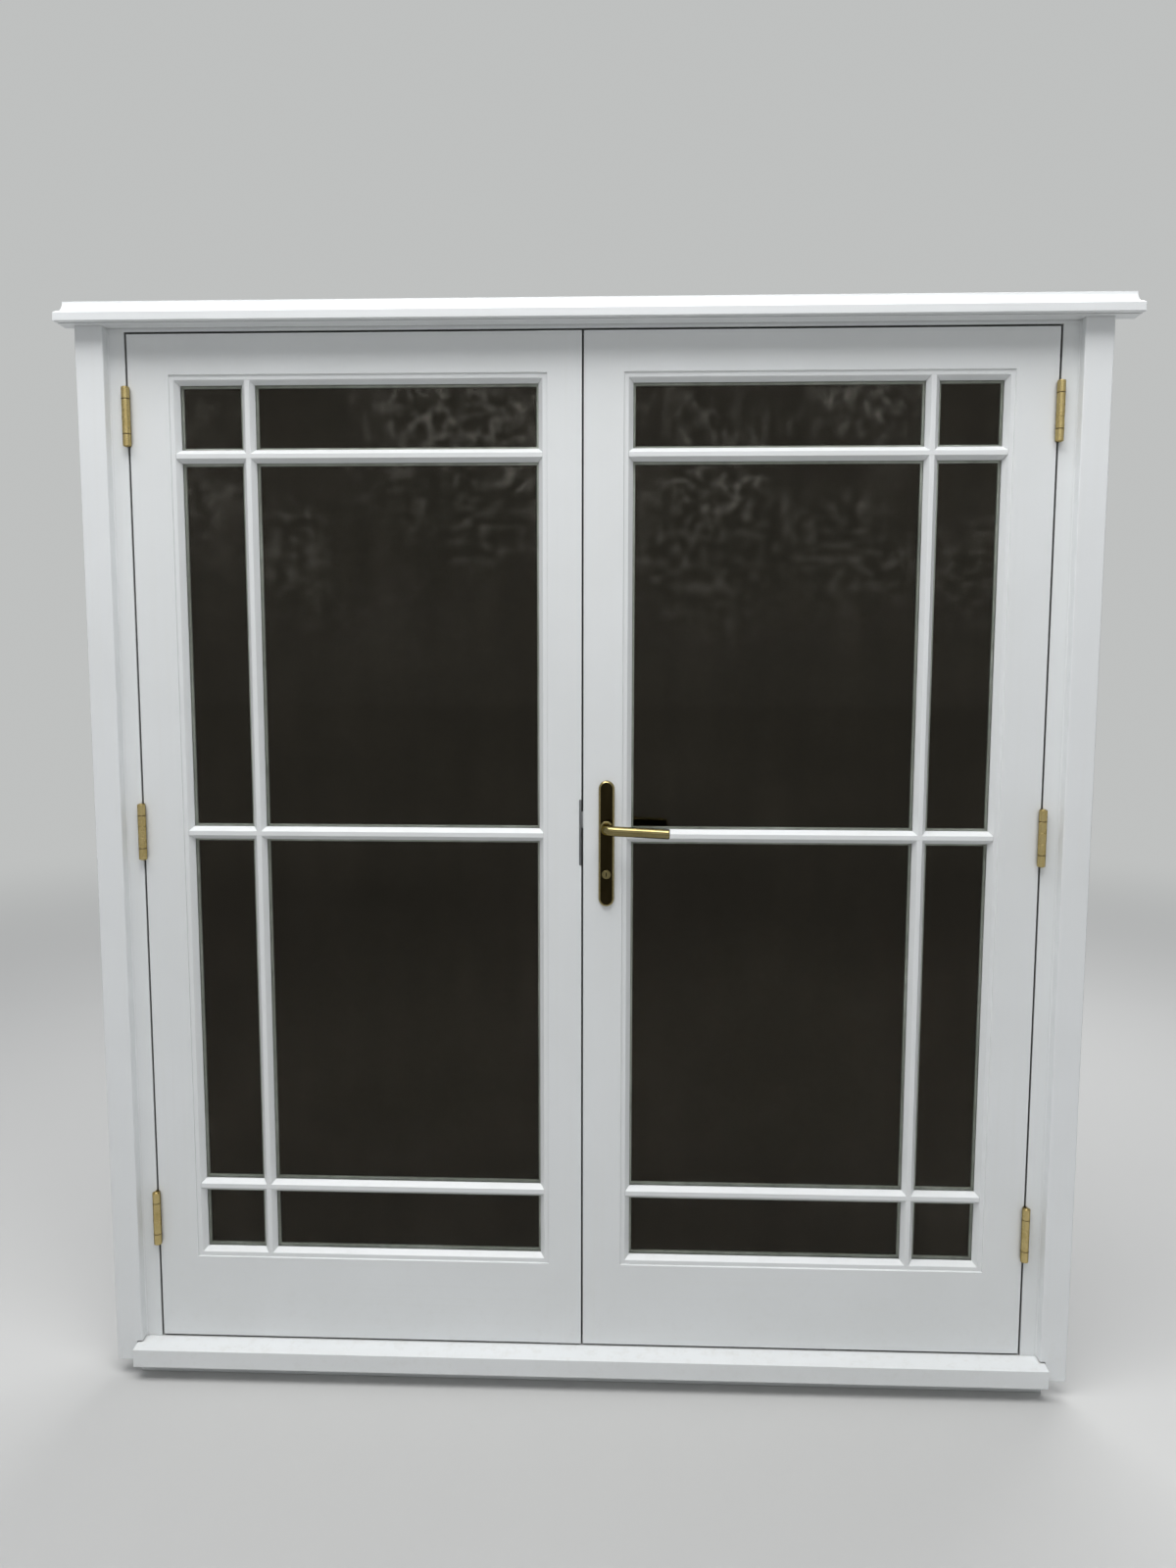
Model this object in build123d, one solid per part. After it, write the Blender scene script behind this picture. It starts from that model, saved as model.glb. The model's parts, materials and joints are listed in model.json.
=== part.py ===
"""Pair of outward opening timber french doors in their frame, all sizes in millimetres.

X runs across the opening, Y from the outside to the inside, Z up.
X = 0 is the middle of the frame, Y = 0 the outer face of leaves and jambs, Z = 0 the sill bed.
The right leaf is the master and laps over the left leaf at the rebated meeting stiles.
"""
from build123d import *
import math
import os

os.makedirs("parts", exist_ok=True)

# Overall sizes of the leaves
leaf_height = 1981.0
leaf_thickness = 56.0
pair_half_width = 864.0
leaf_gap = 3.5
leaf_bottom = 76.0
leaf_top = leaf_bottom + leaf_height

# Meeting stiles
meeting_middle = -7.0
meeting_gap = 3.5
meeting_lap = 14.5
inner_meeting_gap = 6.0
lip_thickness = 27.0
lap_face_gap = 2.0

# Glazed opening of each leaf
hinge_stile_width = 94.5
master_meeting_sightline = 87.0
slave_meeting_sightline = 90.5
top_rail_width = 92.0
bottom_rail_width = 186.0
bar_width = 25.0
corner_pane_height = 119.0
narrow_pane_width = 118.0

# Moulding round the glass
sunk_margin = 17.0
sunk_depth = 3.0
bevel_width = 8.0
bevel_bottom = 14.0
rebate_front = 16.5
rebate_width = 8.0

# Sealed glass units
glass_thickness = 4.0
unit_cavity = 6.0
glass_edge_gap = 2.0
spacer_show = 4.0
spacer_edge_gap = 0.5
bead_back_set = 2.0
bead_nose_depth = 10.0
bead_bevel = 5.0

# Frame
jamb_width = 42.5
frame_depth = 100.0
stop_width = 15.0
stop_front = 60.0
head_height = 42.5
seal_clearance = 0.4
seal_width = 8.0
seal_groove = 5.0

# Sill
sill_nose_front = -47.0
sill_seat = leaf_bottom - leaf_gap
sill_nose_top = sill_seat - 4.0
sill_nose_bottom = 32.0
sill_body_front = -8.0
sill_upstand_top = leaf_bottom + 12.0
sill_slope_back = -2.0
drip_groove_width = 6.0
drip_groove_depth = 5.0

# Cover trims and the moulding over the head
jamb_show = 32.0
trim_width = 52.5
trim_thickness = 22.0
trim_bottom = 33.5
trim_notch_gap = 0.5
mould_left_over = 67.5
mould_right_over = 83.5
mould_bottom = leaf_top + leaf_gap + 7.0
mould_slope_run = 16.0
mould_slope_rise = 6.7
mould_top_depth = 12.0
mould_top_fillet = 4.0
mould_cove_rise = 6.3
mould_nose_front = -52.0
mould_nose_height = 15.8
mould_height = 45.5

# Hinges
low_hinge_rise = 252.0
top_hinge_drop = 152.0
low_hinge = leaf_bottom + low_hinge_rise
top_hinge = leaf_top - top_hinge_drop
hinge_heights = (low_hinge, (low_hinge + top_hinge) / 2, top_hinge)
knuckle_radius = 7.5
knuckle_axis_out = 8.0
hinge_height = 108.0
end_knuckle = 21.1
mid_knuckle_half = 10.8
washer_thickness = 1.2
washer_radius = 7.9
knuckle_play = 0.15
pin_radius = 3.5
pin_play = 0.05
pin_tip_radius = 5.0
pin_tip_height = 1.8
flap_thickness = 2.6
flap_depth = 46.0
barrel_clearance = 0.3
flap_screw_count = 4
screw_shank_radius = 2.0
screw_head_radius = 4.0
screw_head_depth = 2.0
screw_length = 30.0
front_screw_row = 17.0
back_screw_row = 33.0

# Lever, lock and bolts
backset = 45.0
spindle_rise = 1056.0
spindle_height = leaf_bottom + spindle_rise
cylinder_drop = 92.0
cylinder_z = spindle_height - cylinder_drop
plate_width = 30.0
plate_bottom = cylinder_z - 63.0
plate_top = spindle_height + 89.0
plate_thickness = 7.0
plate_edge = 1.6
lever_tube_radius = 9.5
lever_neck_radius = 8.0
lever_neck_play = 0.06
lever_collar_radius = 12.0
lever_collar_height = 4.0
lever_collar_gap = 0.3
lever_reach = 57.0
lever_bend = 14.0
lever_length = 120.0
lever_droop = 2.7
spindle_side = 8.0
spindle_play = 0.05
spindle_hole_play = 1.5
follower_radius = 11.0
case_front_set = 3.0
case_depth = 60.0
case_thickness = 16.0
case_wall = 1.5
case_bottom = cylinder_z - 75.0
case_top = spindle_height + 63.0
lock_plane = 13.5
faceplate_thickness = 3.0
faceplate_width = 20.0
faceplate_bottom = leaf_bottom + 140.0
faceplate_top = leaf_top - 137.0
latch_height = 32.0
latch_middle = spindle_height + 12.0
latch_throw = 12.0
latch_tail = 15.0
latch_thickness = 12.0
bolt_height = 32.0
bolt_middle = spindle_height - 42.0
bolt_throw = 20.0
bolt_tail = 25.0
bolt_thickness = 11.0
bolt_play = 0.3
round_bolt_radius = 5.0
round_bolt_play = 0.1
round_bolt_heights = (leaf_bottom + 200.0, leaf_top - 197.0)
round_bolt_length = 30.0
bolt_case_half = 30.0
bolt_case_depth = 36.0
keep_thickness = 2.0
keep_bottom = bolt_middle - 34.0
keep_top = latch_middle + 40.0
keep_lip = 0.5
keep_width = 24.0
pocket_front = 3.4
pocket_end_gap = 1.5
round_keep_half = 30.0
cylinder_radius = 8.5
cylinder_leg_width = 10.0
cylinder_height = 33.0
cylinder_proud = 3.0
cylinder_play = 0.2
plug_radius = 6.5
plug_play = 0.05
plug_proud = 0.4
key_slot_width = 1.8
key_slot_height = 8.0
key_slot_depth = 12.0
plate_bolt_radius = 2.5
plate_bolt_head = 4.5
plate_bolt_inset = 14.0

# Flush bolts of the left leaf
flush_length = 200.0
flush_width = 14.0
flush_depth = 12.0
flush_inset = 7.0
flush_rod_radius = 4.0
flush_rod_play = 0.08
flush_rod_length = 150.0
flush_rod_rest = 1.0
flush_throw = 18.0
flush_tab_width = 6.0
flush_tab_height = 12.0
flush_tab_play = 0.3
flush_keep_play = 0.6
flush_keep_side = 22.0

# Tenons
rail_tenon_length = 55.0
rail_tenon_front = 24.0
rail_tenon_thickness = 16.0
rail_shoulder = 20.0
bar_tenon_length = 14.0
jamb_tenon_length = 18.0
jamb_tenon_inset = 12.0
jamb_tenon_front = 30.0
jamb_tenon_thickness = 24.0
tenon_end_gap = 1.0
far = 4.0


def block(x0, x1, y0, y1, z0, z1):
    """Axis aligned block between two corners."""
    size = (x1 - x0, y1 - y0, z1 - z0)
    middle = ((x0 + x1) / 2, (y0 + y1) / 2, (z0 + z1) / 2)
    return Pos(*middle) * Box(*size)


def rod(centre, direction, radius, length):
    """Cylinder that starts at centre and runs along direction."""
    plane = Plane(origin=centre, z_dir=direction)
    return extrude(plane * Circle(radius), amount=length)


def profile_along_x(points, x0, x1):
    """Closed (y, z) outline extruded from x0 to x1."""
    face = Face(Wire.make_polygon([Vector(x0, y, z) for y, z in points], close=True))
    return Solid.extrude(face, Vector(x1 - x0, 0, 0))


def profile_along_z(points, z0, z1):
    """Closed (x, y) outline extruded from z0 to z1."""
    face = Face(Wire.make_polygon([Vector(x, y, z0) for x, y in points], close=True))
    return Solid.extrude(face, Vector(0, 0, z1 - z0))


def stacked_solid(levels):
    """Solid with flat faces between matching point lists, one list for each level."""
    faces = [Face(Wire.make_polygon(levels[0], close=True))]
    faces.append(Face(Wire.make_polygon(levels[-1], close=True)))
    for lower, upper in zip(levels, levels[1:]):
        count = len(lower)
        for i in range(count):
            j = (i + 1) % count
            ring = [lower[i], lower[j], upper[j], upper[i]]
            faces.append(Face(Wire.make_polygon(ring, close=True)))
    solid = Solid(Shell(faces))
    if solid.volume < 0:
        solid = Solid(solid.wrapped.Reversed())
    return solid


def rectangle_at(x0, x1, z0, z1, y):
    """Four corners of an upright rectangle at depth y."""
    return [Vector(x0, y, z0), Vector(x1, y, z0), Vector(x1, y, z1), Vector(x0, y, z1)]


def cut(solid, *tools):
    """Solid with all the tools taken away."""
    for tool in tools:
        solid = solid - tool
    return solid


def save(name, *solids, flip=False):
    """Write the solids of one node, mirrored to the left side where asked."""
    kept = []
    for solid in solids:
        kept.extend(solid.solids())
    if flip:
        kept = [piece.mirror(Plane.YZ) for piece in kept]
    shape = kept[0] if len(kept) == 1 else Compound(children=kept)
    export_step(shape, os.path.join("parts", name + ".step"))


def grow(opening, by):
    """Opening (x0, x1, z0, z1) grown on all sides."""
    x0, x1, z0, z1 = opening
    return (x0 - by, x1 + by, z0 - by, z1 + by)


def pane_block(opening, by, y0, y1):
    """Block the size of a grown opening between two depths."""
    x0, x1, z0, z1 = grow(opening, by)
    return block(x0, x1, y0, y1, z0, z1)


# Derived places
opening_bottom = leaf_bottom + bottom_rail_width
opening_top = leaf_top - top_rail_width
tall_pane_height = (opening_top - opening_bottom - 3 * bar_width - 2 * corner_pane_height) / 2
bar_half = bar_width / 2
lower_bar_z = opening_bottom + corner_pane_height + bar_half
middle_bar_z = lower_bar_z + tall_pane_height + bar_width
upper_bar_z = middle_bar_z + tall_pane_height + bar_width
hinge_sightline = pair_half_width - hinge_stile_width
bar_x = hinge_sightline - narrow_pane_width - bar_half
unit_back = rebate_front + 2 * glass_thickness + unit_cavity
jamb_face = pair_half_width + leaf_gap
frame_half_length = jamb_face + jamb_width
trim_inner = jamb_face + jamb_show
trim_half_width = trim_inner + trim_width
mould_left = -(frame_half_length + mould_left_over)
mould_right = frame_half_length + mould_right_over
head_face = leaf_top + leaf_gap
head_top = head_face + head_height
knuckle_x = pair_half_width + leaf_gap / 2
master_edge = meeting_middle + meeting_gap / 2
slave_edge = -(meeting_middle - meeting_gap / 2)
slave_tongue = slave_edge - meeting_lap
master_inner_edge = -slave_tongue + inner_meeting_gap
tongue_front = lip_thickness + lap_face_gap
spindle_x = master_edge + backset
plate_middle = (plate_bottom + plate_top) / 2
faceplate_back = master_edge + faceplate_thickness
faceplate_front_y = lock_plane - faceplate_width / 2
faceplate_back_y = lock_plane + faceplate_width / 2


def bar_outline(middle):
    """Section of a glazing bar as (across, depth) points about its middle line."""
    flat = bar_half - bevel_width
    web = bar_half - rebate_width
    right = [(flat, sunk_depth), (bar_half, bevel_bottom), (bar_half, rebate_front),
             (web, rebate_front), (web, leaf_thickness)]
    left = [(-across, depth) for across, depth in reversed(right)]
    return [(middle + across, depth) for across, depth in right + left]


def moulding_cutters(opening):
    """Shapes that leave the sunk margin, the bevel, the leg and the glass rebate."""
    margin = pane_block(opening, sunk_margin, -far, sunk_depth)
    bevel = stacked_solid([rectangle_at(*grow(opening, bevel_width), sunk_depth),
                           rectangle_at(*opening, bevel_bottom)])
    slope = bevel_width / (bevel_bottom - sunk_depth)
    mouth = stacked_solid([rectangle_at(*grow(opening, bevel_width + slope), sunk_depth - 1.0),
                           rectangle_at(*opening, bevel_bottom)])
    through = pane_block(opening, 0.0, 0.0, leaf_thickness + far)
    rebate = pane_block(opening, rebate_width, rebate_front, leaf_thickness + far)
    return [margin, mouth if mouth.volume > bevel.volume else bevel, through, rebate]


def flap_pocket(z, x_side):
    """Recess for one hinge flap, from the edge face at x_side towards the timber."""
    reach = flap_thickness if x_side > knuckle_x else -flap_thickness
    x0, x1 = sorted((x_side, x_side + reach))
    return block(x0, x1, -far, flap_depth, z - hinge_height / 2, z + hinge_height / 2)


def screw_places(z):
    """Depth and height of the screws of one flap."""
    places = []
    for index in range(flap_screw_count):
        height = z + hinge_height * (index + 0.5 - flap_screw_count / 2) / flap_screw_count
        depth = front_screw_row if index % 2 == 0 else back_screw_row
        places.append((depth, height))
    return places


def countersunk(x, y, z, direction, length):
    """Countersunk screw whose head is flush at x, with a plain shank."""
    head_plane = Plane(origin=(x, y, z), z_dir=(direction, 0, 0))
    head = loft([head_plane * Circle(screw_head_radius),
                 head_plane.offset(screw_head_depth) * Circle(screw_shank_radius)])
    return head + rod((x, y, z), (direction, 0, 0), screw_shank_radius, length)


def flap_screws(x_side, direction):
    """All the screws of the three flaps on one side of a hinge line."""
    screws = []
    for z in hinge_heights:
        for depth, height in screw_places(z):
            screws.append(countersunk(x_side, depth, height, direction, screw_length))
    return screws


def knuckle_spans():
    """Heights of the five knuckles from the hinge middle, frame leaves first."""
    half = hinge_height / 2
    washer_end = half - end_knuckle - washer_thickness
    frame = [(-half, -half + end_knuckle), (-mid_knuckle_half, mid_knuckle_half),
             (half - end_knuckle, half)]
    inner = mid_knuckle_half + knuckle_play
    outer = washer_end - knuckle_play
    return frame, [(-outer, -inner), (inner, outer)]


def hinge_flap(z, x_side, own, other):
    """One flap with its own knuckles, cut clear of the other leaf's knuckles."""
    reach = flap_thickness if x_side > knuckle_x else -flap_thickness
    x0, x1 = sorted((x_side, x_side + reach))
    half = hinge_height / 2
    flap = block(x0, x1, -knuckle_axis_out, flap_depth, z - half, z + half)
    for low, high in own:
        flap = flap + rod((knuckle_x, -knuckle_axis_out, z + low), (0, 0, 1), knuckle_radius,
                          high - low)
    edge = half + far
    spans = [(-edge, -half)] + sorted(own) + [(half, edge)]
    clear = max(knuckle_radius, washer_radius) + barrel_clearance
    for low, high in other:
        below = max([top for bottom, top in spans if top <= low + 0.001])
        above = min([bottom for bottom, top in spans if bottom >= high - 0.001])
        flap = flap - rod((knuckle_x, -knuckle_axis_out, z + below), (0, 0, 1), clear,
                          above - below)
    bore = rod((knuckle_x, -knuckle_axis_out, z - edge), (0, 0, 1), pin_radius + pin_play,
               2 * edge)
    return flap - bore


def hinge_set(x_side, direction, is_frame):
    """Three flaps and their screws for one side of a hinge line."""
    frame, leaf = knuckle_spans()
    own, other = (frame, leaf) if is_frame else (leaf, frame)
    screws = flap_screws(x_side, direction)
    flaps = []
    for index, z in enumerate(hinge_heights):
        flap = hinge_flap(z, x_side, own, other)
        first = index * flap_screw_count
        flaps.append(cut(flap, *screws[first:first + flap_screw_count]))
    return flaps, screws


def hinge_pins():
    """Loose pins with their buttons, and the washers beside the end knuckles."""
    pins = []
    washers = []
    half = hinge_height / 2
    for z in hinge_heights:
        axis = (knuckle_x, -knuckle_axis_out)
        pin = rod((*axis, z - half), (0, 0, 1), pin_radius, hinge_height)
        for end, way in ((z + half, 1), (z - half, -1)):
            plane = Plane(origin=(*axis, end), z_dir=(0, 0, way))
            tip = loft([plane * Circle(pin_tip_radius),
                        plane.offset(pin_tip_height) * Circle(pin_tip_radius * 0.55)])
            pin = pin + tip
        pins.append(pin)
        low = z - half + end_knuckle
        high = z + half - end_knuckle - washer_thickness
        for start in (low, high):
            disc = rod((*axis, start), (0, 0, 1), washer_radius, washer_thickness)
            washers.append(disc - rod((*axis, start - 1), (0, 0, 1), pin_radius + pin_play, far))
    return pins, washers


def bead_strips(pane):
    """Four mitred glazing beads inside one pane, bevelled on the room side."""
    x0, x1, z0, z1 = pane
    outer = grow(pane, rebate_width)
    back = leaf_thickness - bead_back_set
    depths = (unit_back, unit_back + bead_nose_depth, back)
    strips = []
    for side in range(4):
        levels = []
        for level, depth in enumerate(depths):
            inset = bead_bevel if level == 2 else 0.0
            o = rectangle_at(*outer, depth)
            i = rectangle_at(*grow(pane, inset), depth)
            j = (side + 1) % 4
            levels.append([o[side], o[j], i[j], i[side]])
        strips.append(stacked_solid(levels))
    return strips


def panes_of(opening):
    """Sightline rectangles of the eight panes of a leaf."""
    x0, x1, z0, z1 = opening
    columns = [(x0, bar_x - bar_half), (bar_x + bar_half, x1)]
    rows = [(z0, lower_bar_z - bar_half), (lower_bar_z + bar_half, middle_bar_z - bar_half),
            (middle_bar_z + bar_half, upper_bar_z - bar_half), (upper_bar_z + bar_half, z1)]
    return [(a, b, c, d) for c, d in rows for a, b in columns]


def rail_tenon(opening, side, z0, z1, grow_by=0.0):
    """Tenon of a rail into the stile on one side of the opening."""
    x0, x1, _, _ = opening
    start = x0 if side < 0 else x1
    end = start + side * (rail_tenon_length + grow_by)
    a, b = sorted((start, end))
    return block(a, b, rail_tenon_front, rail_tenon_front + rail_tenon_thickness, z0, z1)


def bar_tenon(opening, side, z, grow_by=0.0):
    """Tenon of a horizontal bar beyond the glass rebate of a stile."""
    x0, x1, _, _ = opening
    start = x0 - rebate_width if side < 0 else x1 + rebate_width
    end = start + side * (bar_tenon_length + grow_by)
    a, b = sorted((start, end))
    web = bar_half - rebate_width
    return block(a, b, rail_tenon_front, rail_tenon_front + rail_tenon_thickness, z - web, z + web)


def leaf_timber(meeting_sightline, meeting_outline):
    """Stiles, rails and bars of one leaf, laid out on the right hand side."""
    opening = (meeting_sightline, hinge_sightline, opening_bottom, opening_top)
    cutters = moulding_cutters(opening)
    bars_z = (lower_bar_z, middle_bar_z, upper_bar_z)
    tenon_spans = [(leaf_bottom + rail_shoulder, opening_bottom - rail_shoulder),
                   (opening_top + rail_shoulder, leaf_top - rail_shoulder)]
    hinge_stile = block(hinge_sightline, pair_half_width, 0, leaf_thickness, leaf_bottom, leaf_top)
    meeting_stile = profile_along_z(meeting_outline, leaf_bottom, leaf_top)
    hinge_stile = cut(hinge_stile, *cutters)
    meeting_stile = cut(meeting_stile, *cutters)
    for low, high in tenon_spans:
        hinge_stile = hinge_stile - rail_tenon(opening, 1, low, high, tenon_end_gap)
        meeting_stile = meeting_stile - rail_tenon(opening, -1, low, high, tenon_end_gap)
    for z in bars_z:
        hinge_stile = hinge_stile - bar_tenon(opening, 1, z, tenon_end_gap)
        meeting_stile = meeting_stile - bar_tenon(opening, -1, z, tenon_end_gap)
    x0, x1, z0, z1 = opening
    bottom_rail = cut(block(x0, x1, 0, leaf_thickness, leaf_bottom, z0), *cutters)
    top_rail = cut(block(x0, x1, 0, leaf_thickness, z1, leaf_top), *cutters)
    for side in (-1, 1):
        bottom_rail = bottom_rail + rail_tenon(opening, side, *tenon_spans[0])
        top_rail = top_rail + rail_tenon(opening, side, *tenon_spans[1])
    bars = []
    for z in bars_z:
        outline = [(depth, height) for height, depth in bar_outline(z)]
        bar = profile_along_x(outline, x0 - rebate_width, x1 + rebate_width)
        bar = cut(bar, hinge_stile, meeting_stile)
        bar = bar + bar_tenon(opening, 1, z) + bar_tenon(opening, -1, z)
        bars.append(bar)
    posts = []
    edges = [z0] + [z + side * bar_half for z in bars_z for side in (-1, 1)] + [z1]
    for index in range(4):
        low, high = edges[2 * index], edges[2 * index + 1]
        post = profile_along_z(bar_outline(bar_x), low - rebate_width, high + rebate_width)
        below = bottom_rail if index == 0 else bars[index - 1]
        above = top_rail if index == 3 else bars[index]
        posts.append(cut(post, below, above))
    return opening, hinge_stile, meeting_stile, bottom_rail, top_rail, bars, posts


def spacer_lengths(pane, reach, front):
    """Four straight spacer lengths that keep the two panes of a sealed unit apart."""
    x0, x1, z0, z1 = grow(pane, reach)
    a0, a1, b0, b1 = grow(pane, -spacer_show)
    back = front + unit_cavity
    return [block(x0, a0, front, back, z0, z1), block(a1, x1, front, back, z0, z1),
            block(a0, a1, front, back, z0, b0), block(a0, a1, front, back, b1, z1)]


def glass_of(opening):
    """Outer panes, spacers, inner panes and beads of the eight sealed units."""
    outer, spacers, inner, beads = [], [], [], []
    reach = rebate_width - glass_edge_gap
    mid = rebate_front + glass_thickness
    for pane in panes_of(opening):
        outer.append(pane_block(pane, reach, rebate_front, mid))
        inner.append(pane_block(pane, reach, mid + unit_cavity, unit_back))
        spacers.extend(spacer_lengths(pane, reach - spacer_edge_gap, mid))
        beads.extend(bead_strips(pane))
    return outer, spacers, inner, beads


def leaf_hinges(hinge_stile):
    """Hinge stile with its recesses and screw holes, the leaf flaps and their screws."""
    flaps, screws = hinge_set(pair_half_width, -1, False)
    pockets = [flap_pocket(z, pair_half_width) for z in hinge_heights]
    return cut(hinge_stile, *pockets, *screws), flaps, screws


def cylinder_shape(y0, y1, play, with_leg):
    """Round cylinder front or its keyed profile between two depths."""
    shape = rod((spindle_x, y0, cylinder_z), (0, 1, 0), cylinder_radius + play, y1 - y0)
    if with_leg:
        half = cylinder_leg_width / 2 + play
        low = cylinder_z + cylinder_radius - cylinder_height - play
        shape = shape + block(spindle_x - half, spindle_x + half, y0, y1, low, cylinder_z)
    return shape


def key_slot(face_y, way):
    """Slot for the key in one end of the plug."""
    a, b = sorted((face_y - way, face_y + way * key_slot_depth))
    half_width = key_slot_width / 2
    half_height = key_slot_height / 2
    return block(spindle_x - half_width, spindle_x + half_width, a, b,
                 cylinder_z - half_height, cylinder_z + half_height)


def backplate(y0, y1, bolt_tools):
    """Long round ended plate between two depths, eased on the side away from the leaf."""
    half = plate_width / 2
    outline = SlotOverall(plate_top - plate_bottom, plate_width, rotation=90)
    plane = Plane(origin=(spindle_x, y0, plate_middle), x_dir=(1, 0, 0), z_dir=(0, -1, 0))
    plate = extrude(plane * outline, amount=-(y1 - y0))
    front = y0 if y0 < 0 else y1
    rim = plate.faces().filter_by(Axis.Y).sort_by(Axis.Y)
    rim = rim[0] if front == y0 else rim[-1]
    plate = fillet(rim.edges(), plate_edge)
    neck = rod((spindle_x, y0 - 1, spindle_height), (0, 1, 0), lever_neck_radius + lever_neck_play,
               y1 - y0 + 2)
    key = cylinder_shape(y0 - 1, y1 + 1, cylinder_play, False)
    return cut(plate, neck, key, *bolt_tools)


def lever_shape(face_y, way):
    """Tubular lever that turns about the spindle, with way +1 on the room side."""
    neck_start = face_y - way * (plate_thickness - 2.0)
    collar = face_y + way * lever_collar_gap
    bend_start = face_y + way * (lever_reach - plate_thickness - lever_bend)
    run_y = bend_start + way * lever_bend
    axis_point = (spindle_x, spindle_height)
    reach = abs(bend_start - neck_start)
    neck = rod((spindle_x, neck_start, spindle_height), (0, way, 0), lever_neck_radius, reach)
    ring = rod((spindle_x, collar, spindle_height), (0, way, 0), lever_collar_radius,
               lever_collar_height)
    middle = lever_bend * (1 - math.cos(math.pi / 4))
    side = lever_bend * math.sin(math.pi / 4)
    start = Vector(axis_point[0], bend_start - way * 4.0, axis_point[1])
    first = Vector(axis_point[0], bend_start, axis_point[1])
    through = Vector(axis_point[0] + middle, bend_start + way * side, axis_point[1])
    turn = Vector(axis_point[0] + lever_bend, run_y, axis_point[1])
    end = Vector(axis_point[0] + lever_length, run_y, axis_point[1])
    path = Wire([Edge.make_line(start, first), Edge.make_three_point_arc(first, through, turn),
                 Edge.make_line(turn, end)])
    ring_plane = Plane(origin=start, z_dir=(0, way, 0))
    tube = sweep(ring_plane * Circle(lever_tube_radius), path=path)
    tip = tube.edges().filter_by(GeomType.CIRCLE).sort_by(Axis.X)[-1]
    tube = fillet(tip, 2.0)
    lever = neck + ring + tube
    half = spindle_side / 2 + spindle_play
    socket_end = face_y + way * 26.0
    a, b = sorted((neck_start - way, socket_end))
    lever = lever - block(spindle_x - half, spindle_x + half, a, b,
                          spindle_height - half, spindle_height + half)
    turn_axis = Axis((spindle_x, 0, spindle_height), (0, 1, 0))
    return lever.rotate(turn_axis, lever_droop)


def case_shell(x1, z0, z1):
    """Sheet metal box of a lock or bolt case, open towards the faceplate."""
    half = case_thickness / 2
    outer = block(faceplate_back, x1, lock_plane - half, lock_plane + half, z0, z1)
    room = block(faceplate_back - 1, x1 - case_wall, lock_plane - half + case_wall,
                 lock_plane + half - case_wall, z0 + case_wall, z1 - case_wall)
    return outer, outer - room


def latch_shape():
    """Spring latch with its slope on the room side, shown thrown."""
    half = latch_thickness / 2
    tip = master_edge - latch_throw
    front, back = lock_plane - half, lock_plane + half
    points = [(tip, front), (tip, front + 2.0), (master_edge - 0.5, back), (latch_tail, back),
              (latch_tail, front)]
    return profile_along_z(points, latch_middle - latch_height / 2, latch_middle + latch_height / 2)


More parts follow.
